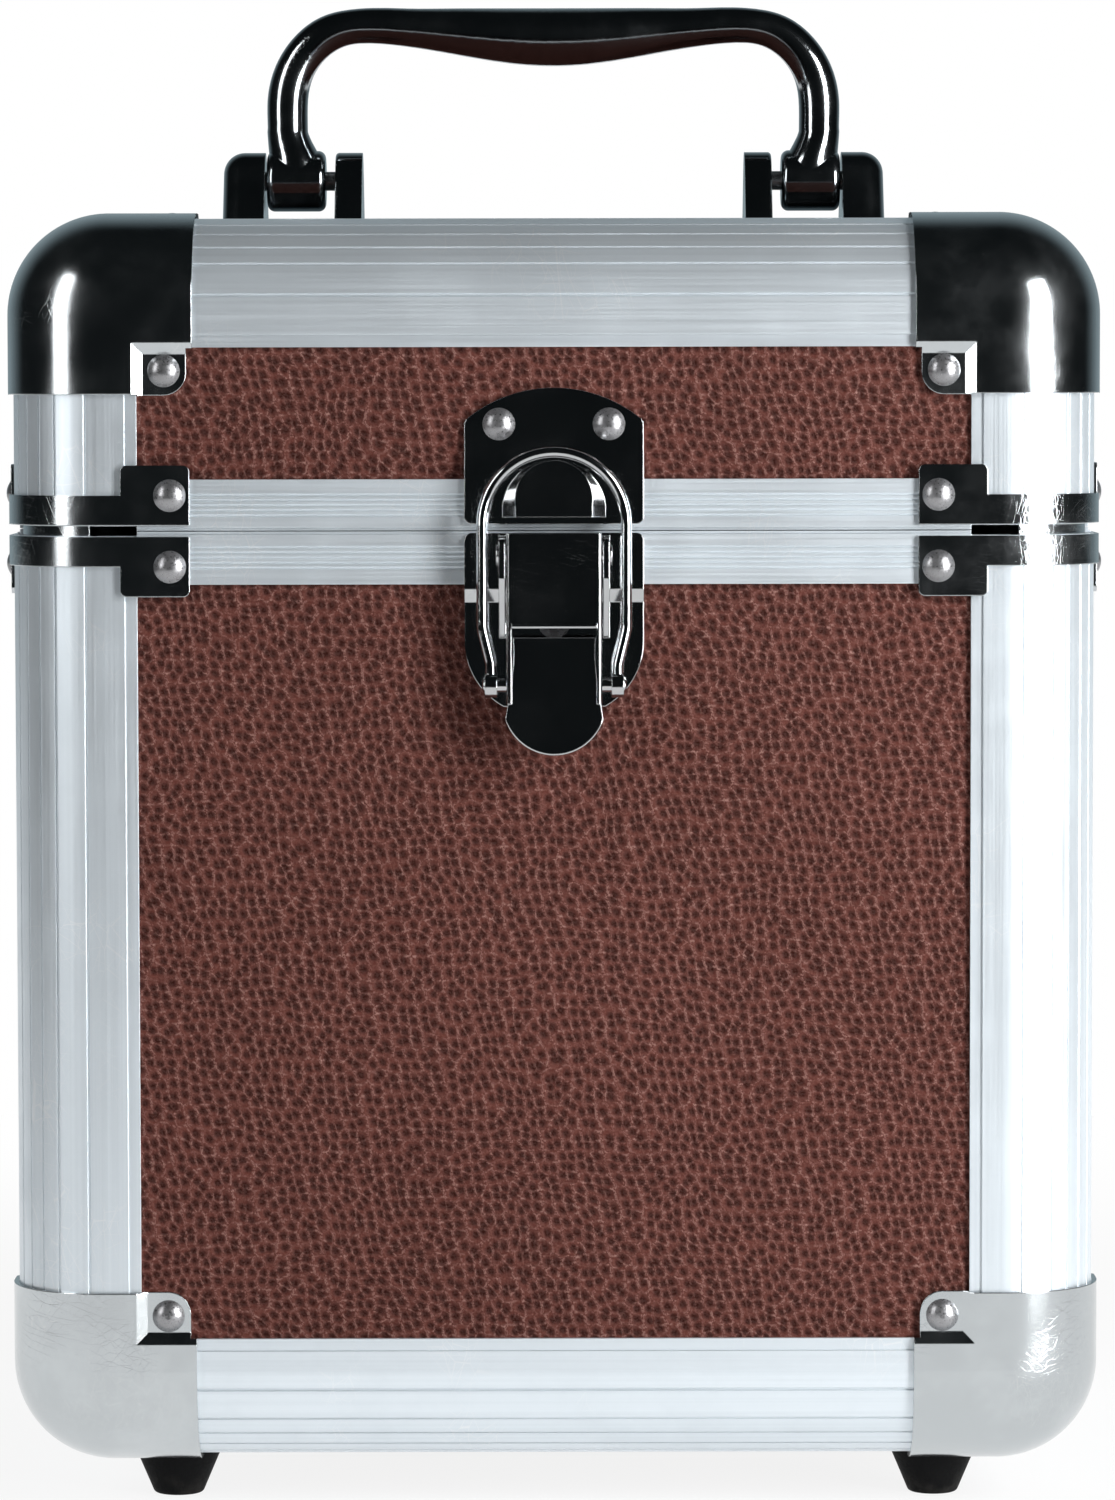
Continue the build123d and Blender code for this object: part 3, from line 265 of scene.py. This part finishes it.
def handling_marks():
    tree, start, end = start_group(
        "handling_marks",
        [("Vector", VECTOR, None), ("Scratch Size", FLOAT, SCRATCH_SIZE), ("Dust Size", FLOAT, DUST_SIZE)],
        [("Scratch", FLOAT), ("Smear", FLOAT), ("Dust", FLOAT)],
    )
    place = start.outputs["Vector"]
    patch = remap(tree, noise(tree, place, SCRATCHED_PATCHES, 1.0), 0.52, 0.68)
    per_scratch = maths(tree, "DIVIDE", 1.0, start.outputs["Scratch Size"])
    per_spot = maths(tree, "DIVIDE", 1.0, start.outputs["Dust Size"])
    scratches = []
    for turn, thickness in SCRATCH_TURNS:
        turned = put(tree, "ShaderNodeMapping", Vector=place, Rotation=(turn, turn * 0.7, turn)).outputs[0]
        longer = vector_maths(tree, "MULTIPLY", i0=turned, i1=NEEDLE)[0]
        sized = vector_maths(tree, "SCALE", i0=longer, Scale=per_scratch)[0]
        to_edge = {"feature": "DISTANCE_TO_EDGE"}
        walls = put(tree, "ShaderNodeTexVoronoi", to_edge, Vector=sized, Scale=WALL_SCALE).outputs
        line = maths(tree, "SUBTRACT", 1.0, remap(tree, walls["Distance"], 0.0, thickness))
        scratches.append(times(tree, line, patch))
    scratch = maths(tree, "MAXIMUM", maths(tree, "MAXIMUM", scratches[0], scratches[1]), scratches[2])
    spots = put(tree, "ShaderNodeTexVoronoi", {"feature": "F1"}, Vector=place, Scale=per_spot).outputs
    pick = put(tree, "ShaderNodeSeparateColor", Color=spots["Color"]).outputs[1]
    radius = remap(tree, pick, 0.72, 1.0, 0.0, LARGEST_SPOT)
    feed(tree, end.inputs["Scratch"], scratch)
    feed(tree, end.inputs["Smear"], remap(tree, noise(tree, place, SMEAR_SCALE, 4.0, 0.6), 0.42, 0.72))
    feed(tree, end.inputs["Dust"], maths(tree, "LESS_THAN", spots["Distance"], radius))
    return tree


MARKS = handling_marks()
print(describe(MARKS))

# %% [markdown]
# Lines of an extrusion. Aluminium is pressed through a die, so every flaw of the die draws a
# line along the whole bar. Grooves could be cut into the mesh, but they are shallower than a
# hair is thick. A noise that is stretched 250 times along the bar gives those lines, and a finer
# one gives the brushing that is done before anodising.

# %% Group: die lines
ALONG_BAR = 0.004
LINE_SCALE = 900.0
BRUSH_SCALE = 4200.0


def die_lines():
    tree, start, end = start_group(
        "die_lines",
        [("Vector", VECTOR, None), ("Along", VECTOR, (1.0, 1.0, ALONG_BAR))],
        [("Lines", FLOAT), ("Fine", FLOAT)],
    )
    laid = vector_maths(tree, "MULTIPLY", i0=start.outputs["Vector"], i1=start.outputs["Along"])[0]
    feed(tree, end.inputs["Lines"], noise(tree, laid, LINE_SCALE, 2.0))
    feed(tree, end.inputs["Fine"], noise(tree, laid, BRUSH_SCALE, 2.0, 0.7))
    return tree


LINES = die_lines()
print(describe(LINES))

# %% [markdown]
# Every material starts the same way: a Principled shader and the place on the piece in
# metres. Sizes in the patterns are therefore real sizes. Sheet metal, castings and cut profiles
# have a small rounded edge that catches the light. A bevel could be cut into the mesh, but it
# would disturb the exact shading of the CAD surfaces, so the shading alone is rounded over the
# last few tenths of a millimetre. The bumps of the finish go on top of that.

# %% Material starter
EDGE_SAMPLES = 6
FINISHES = {}


def start_material(name):
    material = bpy.data.materials.new(name)
    material.use_nodes = True
    tree = material.node_tree
    place = tree.nodes.new("ShaderNodeTexCoord").outputs["Object"]
    return material, tree, tree.nodes["Principled BSDF"], place


def broken_edge(tree, radius):
    return put(tree, "ShaderNodeBevel", {"samples": EDGE_SAMPLES}, Radius=radius).outputs["Normal"]


def bump(tree, height, distance, strength=1.0, normal=None):
    inputs = {"Height": height, "Distance": distance, "Strength": strength}
    if normal is not None:
        inputs["Normal"] = normal
    return put(tree, "ShaderNodeBump", **inputs).outputs["Normal"]


print("helpers: start_material, broken_edge, bump")

# %% [markdown]
# Leatherette: red-brown vinyl. The pits are painted nearly black, for the dirt in them and for
# the shade that falls into them. The ridges are painted a dusty pink, partly for wear and partly
# as a painted highlight where the side lamps catch them. Vinyl is a plastic with a weak gloss,
# and the pressed grain leaves little of it. The grain has to run up every wall, so instead of
# flattening each board into a picture there is one version for each way a board faces.

# %% Leatherette
VINYL_DARK, VINYL_LIGHT = (0.053, 0.0143, 0.0101), (0.072, 0.0198, 0.014)
VINYL_FADED = (0.105, 0.032, 0.0245)
# Pit colour stands for dirt and painted shade; ridge colour stands for wear and a painted highlight.
PIT_DIRT_AND_SHADE = (0.018, 0.0028, 0.0014)
RIDGE_RUBBED_AND_LIT = (0.24, 0.138, 0.12)
VINYL_DUST = (0.4, 0.36, 0.33)
FADED_CLOUDS = 16.0
GRAIN_DEPTH = 0.00028
PIT_ROUGHNESS, RIDGE_ROUGHNESS = 0.75, 0.52
VINYL_GLOSS = 0.08


def leatherette(across, up):
    material, tree, shader, place = start_material(f"leatherette_{across}{up}".lower())
    axes = split(tree, place)
    skin = put(tree, "ShaderNodeCombineXYZ", X=axes[across], Y=axes[up]).outputs[0]
    grain = use_group(tree, GRAIN, Vector=skin)
    marks = use_group(tree, MARKS, Vector=place)
    cloud = remap(tree, noise(tree, place, FADED_CLOUDS, 3.0), 0.3, 0.75)
    shade = blend(tree, grain["Tone"], VINYL_DARK, VINYL_LIGHT)
    shade = lay_over(tree, shade, cloud, 0.25, VINYL_FADED)
    # Pits darkened: dirt in the hollows plus painted shade.
    shade = lay_over(tree, shade, grain["Pit"], 0.95, PIT_DIRT_AND_SHADE)
    # Ridges paler: wear plus a painted highlight from the side lamps.
    shade = lay_over(tree, shade, grain["Ridge"], 0.7, RIDGE_RUBBED_AND_LIT)
    shade = lay_over(tree, shade, marks["Dust"], 0.05, VINYL_DUST)
    feed(tree, shader.inputs["Base Color"], shade)
    rough = remap(tree, grain["Height"], 0.0, 1.0, PIT_ROUGHNESS, RIDGE_ROUGHNESS)
    feed(tree, shader.inputs["Roughness"], rough)
    feed(tree, shader.inputs["Normal"], bump(tree, grain["Height"], GRAIN_DEPTH))
    feed(tree, shader.inputs["Specular IOR Level"], VINYL_GLOSS)
    return material


for use, across, up in (("front_skin", "X", "Z"), ("side_skin", "Y", "Z"), ("flat_skin", "X", "Y")):
    FINISHES[use] = leatherette(across, up)
    print(use, "is", FINISHES[use].name)

# %% [markdown]
# Anodised aluminium: satin and pale, a little cold. The lines follow the bar, so there is one
# version for each direction a bar can run in. Bare metal would be a plain metallic shader.
# Anodising leaves a thin clear layer over it, and part of the light comes back softly: a
# metallic value below one keeps the bars pale even where they mirror the dark.

# %% Aluminium
ALUMINIUM_DARK, ALUMINIUM_LIGHT = (0.64, 0.7, 0.745), (0.775, 0.838, 0.885)
ALUMINIUM_SMEARED = (0.575, 0.63, 0.67)
ALUMINIUM_SCRATCHED = (0.88, 0.885, 0.89)
ALUMINIUM_ROUGHNESS = (0.3, 0.44)
ANODISED_METALLIC = 0.75
LINE_DEPTH = 0.00002
EXTRUDED_EDGE = 0.00015


def aluminium(axis):
    material, tree, shader, place = start_material(f"aluminium_along_{axis}")
    along = [ALONG_BAR if letter == axis else 1.0 for letter in "xyz"]
    lines = use_group(tree, LINES, Vector=place, Along=along)
    marks = use_group(tree, MARKS, Vector=place, Scratch_Size=0.03)
    shade = blend(tree, lines["Lines"], ALUMINIUM_DARK, ALUMINIUM_LIGHT)
    shade = lay_over(tree, shade, marks["Smear"], 0.18, ALUMINIUM_SMEARED)
    shade = lay_over(tree, shade, marks["Scratch"], 0.4, ALUMINIUM_SCRATCHED)
    rough = remap(tree, lines["Fine"], 0.2, 0.8, *ALUMINIUM_ROUGHNESS)
    rough = maths(tree, "ADD", rough, times(tree, marks["Smear"], 0.06))
    height = maths(tree, "ADD", lines["Lines"], times(tree, lines["Fine"], 0.5))
    edge = broken_edge(tree, EXTRUDED_EDGE)
    feed(tree, shader.inputs["Base Color"], shade)
    feed(tree, shader.inputs["Roughness"], rough)
    feed(tree, shader.inputs["Normal"], bump(tree, height, LINE_DEPTH, 0.6, edge))
    feed(tree, shader.inputs["Metallic"], ANODISED_METALLIC)
    return material


for axis in "xyz":
    FINISHES[axis] = aluminium(axis)
    print("bars along", axis, "are", FINISHES[axis].name)

# %% [markdown]
# Plated metal: pressed steel with bright plating. A mirror shows whatever stands round it, so
# most of its look is the room, and a perfect one looks false. The pressed sheet is a little
# wavy, the plating has a fine orange-peel skin that scatters light round each highlight, and use
# adds a faint haze, smears, hairlines and dust. Caps, latch and handle differ in tint and haze.

# %% Plated metal
HAIRLINE = (0.75, 0.75, 0.75)
PLATING_DUST = (0.5, 0.49, 0.47)
HAZE_SCALE = 110.0
WAVE_SCALE = 42.0
WAVE_HEIGHT = 0.00003
PEEL_SCALE = 1900.0
PEEL_HEIGHT = 0.0000035
HAIRLINE_DEPTH = -0.000004
PRESSED_EDGE = 0.0003


def plated(name, colour, haze, worn):
    material, tree, shader, place = start_material(name)
    marks = use_group(tree, MARKS, Vector=place, Scratch_Size=0.012, Dust_Size=0.0013)
    smeared = tuple(min(1.0, part * 1.2 + 0.05) for part in colour)
    shade = lay_over(tree, colour, marks["Smear"], 0.3, smeared)
    shade = lay_over(tree, shade, marks["Scratch"], worn, HAIRLINE)
    shade = lay_over(tree, shade, marks["Dust"], 0.1, PLATING_DUST)
    rough = spread(tree, noise(tree, place, HAZE_SCALE, 3.0), haze, haze * 1.6)
    rough = maths(tree, "ADD", rough, times(tree, marks["Smear"], 0.05))
    rough = maths(tree, "ADD", rough, times(tree, marks["Dust"], 0.06))
    edge = broken_edge(tree, PRESSED_EDGE)
    wavy = bump(tree, noise(tree, place, WAVE_SCALE, 1.0), WAVE_HEIGHT, normal=edge)
    peel = bump(tree, noise(tree, place, PEEL_SCALE, 2.0), PEEL_HEIGHT, normal=wavy)
    feed(tree, shader.inputs["Base Color"], shade)
    feed(tree, shader.inputs["Roughness"], rough)
    feed(tree, shader.inputs["Normal"], bump(tree, marks["Scratch"], HAIRLINE_DEPTH, normal=peel))
    feed(tree, shader.inputs["Metallic"], 1.0)
    return material


FINISHES["chrome"] = plated("bright_chrome", colour=(0.54, 0.572, 0.588), haze=0.11, worn=0.25)
FINISHES["latch"] = plated("latch_chrome", colour=(0.5, 0.512, 0.52), haze=0.06, worn=0.35)
FINISHES["handle"] = plated("dark_chrome_handle", colour=(0.34, 0.365, 0.38), haze=0.08, worn=0.2)
print("plated:", [FINISHES[use].name for use in ("chrome", "latch", "handle")])

# %% [markdown]
# Satin steel for rivets, screws and pins: turned or headed steel, slightly rough, with a
# faint pitted skin. It could share the plating, but a dull dome stands out on bright sheet, as
# it does on the real case. One fine noise drives shade, roughness and bump together.

# %% Satin steel
STEEL_DARK, STEEL_LIGHT = (0.24, 0.24, 0.25), (0.4, 0.4, 0.41)
STEEL_SMEARED = (0.2, 0.2, 0.2)
STEEL_SCALE = 2600.0
STEEL_ROUGHNESS = (0.26, 0.42)
STEEL_METALLIC = 0.9
STEEL_PITS = 0.00002


def satin_steel():
    material, tree, shader, place = start_material("satin_steel")
    marks = use_group(tree, MARKS, Vector=place, Scratch_Size=0.006)
    skin = noise(tree, place, STEEL_SCALE, 3.0)
    shade = blend(tree, skin, STEEL_DARK, STEEL_LIGHT)
    feed(tree, shader.inputs["Base Color"], lay_over(tree, shade, marks["Smear"], 0.3, STEEL_SMEARED))
    feed(tree, shader.inputs["Roughness"], spread(tree, skin, *STEEL_ROUGHNESS))
    feed(tree, shader.inputs["Normal"], bump(tree, skin, STEEL_PITS, 0.6))
    feed(tree, shader.inputs["Metallic"], STEEL_METALLIC)
    return material


FINISHES["steel"] = satin_steel()
print("small metal:", FINISHES["steel"].name)

# %% [markdown]
# Rubber feet: black, matt, with a fine moulded skin and a little floor dust low down. The dust
# could be a second material, but a mask from the height fades it out without a border.

# %% Rubber
RUBBER_DARK, RUBBER_LIGHT = (0.0022, 0.0024, 0.0026), (0.005, 0.0052, 0.0055)
FLOOR_DUST = (0.06, 0.055, 0.05)
DUST_HEIGHT = 0.006
GRIME_SCALE = 300.0
RUBBER_SCALE = 1800.0
RUBBER_ROUGHNESS = (0.55, 0.75)
RUBBER_GLOSS = 0.08
RUBBER_SKIN = 0.00005
MOULDED_EDGE = 0.0006


def rubber():
    material, tree, shader, place = start_material("rubber_feet")
    skin = noise(tree, place, RUBBER_SCALE, 4.0)
    low = remap(tree, split(tree, place)["Z"], 0.0, DUST_HEIGHT, 1.0, 0.0)
    grime = times(tree, low, remap(tree, noise(tree, place, GRIME_SCALE, 3.0), 0.4, 0.7))
    shade = blend(tree, skin, RUBBER_DARK, RUBBER_LIGHT)
    edge = broken_edge(tree, MOULDED_EDGE)
    feed(tree, shader.inputs["Base Color"], lay_over(tree, shade, grime, 0.25, FLOOR_DUST))
    feed(tree, shader.inputs["Roughness"], spread(tree, skin, *RUBBER_ROUGHNESS))
    feed(tree, shader.inputs["Normal"], bump(tree, skin, RUBBER_SKIN, normal=edge))
    feed(tree, shader.inputs["Specular IOR Level"], RUBBER_GLOSS)
    return material


FINISHES["rubber"] = rubber()
print("feet:", FINISHES["rubber"].name)

# %% [markdown]
# Lining: black needle felt. Felt has no weave, only fibres in all directions. Real fibres would
# cost a great many hairs inside a dark box, so two stretched noises are crossed instead, and a
# little sheen lies along the surface.

# %% Lining felt
FELT_DARK, FELT_LIGHT = (0.012, 0.012, 0.014), (0.06, 0.06, 0.066)
FELT_WORN = (0.035, 0.033, 0.034)
WORN_CLOUDS = 40.0
FELT_ROUGHNESS = (0.8, 0.95)
FELT_SHEEN = 0.25
FIBRE_DEPTH = 0.0003
FIBRE_STRETCHES = (
    ((2600.0, 500.0, 1500.0), (0.4, 0.2, 0.7)),
    ((480.0, 2400.0, 1300.0), (-0.5, 0.9, 0.1)),
)


def felt():
    material, tree, shader, place = start_material("lining_felt")
    layers = []
    for stretch, turn in FIBRE_STRETCHES:
        laid = put(tree, "ShaderNodeMapping", Vector=place, Scale=stretch, Rotation=turn).outputs[0]
        layers.append(noise(tree, laid, 1.0, 3.0))
    fibres = maths(tree, "MAXIMUM", layers[0], layers[1])
    shade = blend(tree, remap(tree, fibres, 0.45, 0.75), FELT_DARK, FELT_LIGHT)
    shade = lay_over(tree, shade, noise(tree, place, WORN_CLOUDS, 3.0), 0.3, FELT_WORN)
    feed(tree, shader.inputs["Base Color"], shade)
    feed(tree, shader.inputs["Roughness"], remap(tree, fibres, 0.4, 0.8, *FELT_ROUGHNESS))
    feed(tree, shader.inputs["Normal"], bump(tree, fibres, FIBRE_DEPTH))
    feed(tree, shader.inputs["Sheen Weight"], FELT_SHEEN)
    return material


FINISHES["lining"] = felt()
print("lining:", FINISHES["lining"].name)

# %% [markdown]
# One finish per node. A long list could give every node its finish, but the name of a node
# already says what it is, so a few name parts pick the finish. Bars get the version whose lines
# run their way.

# %% Dress the nodes
def finish_of(name):
    if name in ("lid_top_panel", "base_bottom_panel"):
        return "flat_skin"
    if "panel" in name:
        return "side_skin" if "left" in name or "right" in name else "front_skin"
    if "posts" in name:
        return "z"
    if "_edge_" in name or "_rail_" in name:
        return "x" if name.endswith(("front", "back")) else "y"
    if "lining" in name:
        return "lining"
    if name == "feet":
        return "rubber"
    if "rivets" in name or "screws" in name or name in ("hinge_pins", "handle_pins"):
        return "steel"
    if name in ("carry_handle", "handle_brackets"):
        return "handle"
    if name.startswith("latch") or name == "keeper_plate":
        return "latch"
    return "chrome"


for name, piece in nodes.items():
    material = FINISHES[finish_of(name)]
    if piece.data.materials:
        for slot in range(len(piece.data.materials)):
            piece.data.materials[slot] = material
    else:
        piece.data.materials.append(material)
print("dressed", len(nodes), "nodes with", len(FINISHES), "finishes")

# %% [markdown]
# Camera: a long lens about 1.2 m in front of the case, looking slightly down. It stands above
# the middle of the case but below its top, so the lid's top hides behind the front edge. A view
# could be turned into place by eye. This one was fitted to the edges of the case in the
# photograph: place, tilt and lens together.

# %% Camera
FRONT_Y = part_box("base_posts")[0].y
CAMERA_DISTANCE = 1.215
CAMERA_HEIGHT = 0.2244
CAMERA_PITCH = 3.54
CAMERA_ROLL = -0.1
SHIFT_X, SHIFT_Y = 0.0027, 0.0152
LENS_PX, WIDTH_PX, SENSOR_MM = 6189.0, 1115.0, 36.0
NEAR_LIMIT = 0.05

camera_data = bpy.data.cameras.new("camera")
camera_data.sensor_fit = "HORIZONTAL"
camera_data.sensor_width = SENSOR_MM
camera_data.lens = LENS_PX / WIDTH_PX * SENSOR_MM
camera_data.shift_x = SHIFT_X
camera_data.shift_y = SHIFT_Y
camera_data.clip_start = NEAR_LIMIT
camera = bpy.data.objects.new("camera", camera_data)
scene.collection.objects.link(camera)
down = Euler((math.radians(90 - CAMERA_PITCH), 0, 0)).to_matrix()
look = down @ Euler((0, 0, math.radians(CAMERA_ROLL))).to_matrix()
camera.matrix_world = Matrix.Translation((0, FRONT_Y - CAMERA_DISTANCE, CAMERA_HEIGHT)) @ look.to_4x4()
scene.camera = camera
print("camera at", [round(part, 4) for part in camera.location], "lens", round(camera_data.lens, 1))

# %% [markdown]
# The table. The case stands on a pale table in front of white. The white could come from strong
# lamps, but they would bleach the case, so the table glows for the camera and for mirrors. Near
# the case it glows a little less, and the real surface with the shadow shows through. A mirror
# would then be white all over, but in a studio it also sees the dark room round the camera: to
# reflections the table goes dark between 0.6 and 0.8 m from the case, except behind it.

# %% Table
TABLE_SIZE = 4.0
TABLE_NEAR = 0.2
TABLE_PALE = 0.6
TABLE_DARK = 0.8
TABLE_GLOW = 0.87
TABLE_GRAIN = 400.0
TABLE_ROUGHNESS = (0.75, 0.85)
TABLE_GLOSS = 0.1
PALE_GREY, PALER_GREY = (0.86, 0.86, 0.86), (0.88, 0.88, 0.88)
WHITE = (1, 1, 1, 1)
NEARLY_BLACK = (0.004, 0.004, 0.0045, 1)


def ray_mask(tree, *kinds):
    rays = tree.nodes.new("ShaderNodeLightPath").outputs
    total = rays[kinds[0]]
    for kind in kinds[1:]:
        total = maths(tree, "MAXIMUM", total, rays[kind])
    return total


def either(tree, mask, first, second):
    return put(tree, "ShaderNodeMixShader", i0=mask, i1=first, i2=second).outputs[0]


def table_material():
    material, tree, shader, place = start_material("table")
    grain = noise(tree, place, TABLE_GRAIN, 3.0)
    feed(tree, shader.inputs["Base Color"], blend(tree, grain, PALE_GREY, PALER_GREY))
    feed(tree, shader.inputs["Roughness"], spread(tree, grain, *TABLE_ROUGHNESS))
    feed(tree, shader.inputs["Specular IOR Level"], TABLE_GLOSS)
    reach = vector_maths(tree, "LENGTH", i0=place)["Value"]
    glow = put(tree, "ShaderNodeEmission", Color=WHITE, Strength=1.0).outputs[0]
    dark = put(tree, "ShaderNodeEmission", Color=NEARLY_BLACK, Strength=1.0).outputs[0]
    shown = ray_mask(tree, "Is Camera Ray", "Is Glossy Ray", "Is Transmission Ray")
    shown = times(tree, shown, remap(tree, reach, TABLE_NEAR, TABLE_PALE, TABLE_GLOW, 1.0))
    not_behind = remap(tree, split(tree, place)["Y"], 0.0, TABLE_PALE, 1.0, 0.0)
    beyond = times(tree, remap(tree, reach, TABLE_PALE, TABLE_DARK), not_behind)
    mirrored = times(tree, beyond, ray_mask(tree, "Is Glossy Ray"))
    whole = either(tree, mirrored, either(tree, shown, shader.outputs[0], glow), dark)
    feed(tree, tree.nodes["Material Output"].inputs["Surface"], whole)
    return material


bpy.ops.mesh.primitive_plane_add(size=TABLE_SIZE)
table = bpy.context.object
table.name = "table"
table.data.materials.append(table_material())
print("table:", TABLE_SIZE, "m, dark to reflections beyond", TABLE_DARK, "m")

# %% [markdown]
# The world has three faces, because one colour can't do all its work: white for the camera, a
# soft even fill for the light it sheds, and for reflections a dark room that turns pale behind
# the case. Its direction vector points out of the case, so Y runs from the camera side to the
# backdrop. The room is a little cold, which is where the plating gets its blue-black.

# %% World
FILL = 0.38
FILL_OVERHEAD = 0.12
ROOM_DARK = 0.009
ROOM_PALE = 0.35
ROOM_TINT = (0.8, 1.0, 1.08, 1)


def background(colour, strength):
    return put(sky, "ShaderNodeBackground", Color=colour, Strength=strength).outputs[0]


world = bpy.data.worlds.new("world")
scene.world = world
world.use_nodes = True
sky = world.node_tree
sky.nodes.clear()
toward = split(sky, sky.nodes.new("ShaderNodeTexCoord").outputs["Generated"])
soft_fill = background(WHITE, remap(sky, toward["Z"], 0.2, 1.0, FILL, FILL_OVERHEAD))
room = background(ROOM_TINT, remap(sky, toward["Y"], 0.35, 1.0, ROOM_DARK, ROOM_PALE))
indirect = either(sky, ray_mask(sky, "Is Glossy Ray"), soft_fill, room)
seen_directly = ray_mask(sky, "Is Camera Ray", "Is Transmission Ray")
whole_world = either(sky, seen_directly, indirect, background(WHITE, 1.0))
feed(sky, sky.nodes.new("ShaderNodeOutputWorld").inputs["Surface"], whole_world)
print("world: fill", FILL, "falling to", FILL_OVERHEAD, "overhead")

# %% [markdown]
# Lamps: two upright strip boxes in front, the left one tall and the right one nearer the case.
# One large lamp would light it flat. Two strips light the walls from both sides and draw the
# long white streaks on the caps, straps and latch. A weak one over the top and a broad one
# behind lift those sides without being mirrored.

# %% Lamps
def strip_box(name, turn, distance, width, low, high, power):
    angle = math.radians(turn)
    data = bpy.data.lights.new(name, "AREA")
    data.shape = "RECTANGLE"
    data.size = width
    data.size_y = high - low
    data.energy = power
    lamp = bpy.data.objects.new(name, data)
    scene.collection.objects.link(lamp)
    lamp.location = (distance * math.sin(angle), FRONT_Y - distance * math.cos(angle), (low + high) / 2)
    lamp.rotation_euler = (math.radians(90), 0, angle)
    return lamp


strip_box("left_strip", turn=-56, distance=1.3, width=0.34, low=0.17, high=1.3, power=6.5)
strip_box("right_strip", turn=52, distance=0.7, width=0.23, low=0.0, high=0.66, power=10.5)
top_box = strip_box("top_box", turn=180, distance=0.35, width=1.2, low=1.2, high=1.8, power=0.5)
top_box.rotation_euler = (0, 0, 0)
back_box = strip_box("back_box", turn=180, distance=1.6, width=0.8, low=0.1, high=0.9, power=14)
for unmirrored in (top_box, back_box):
    unmirrored.visible_glossy = False
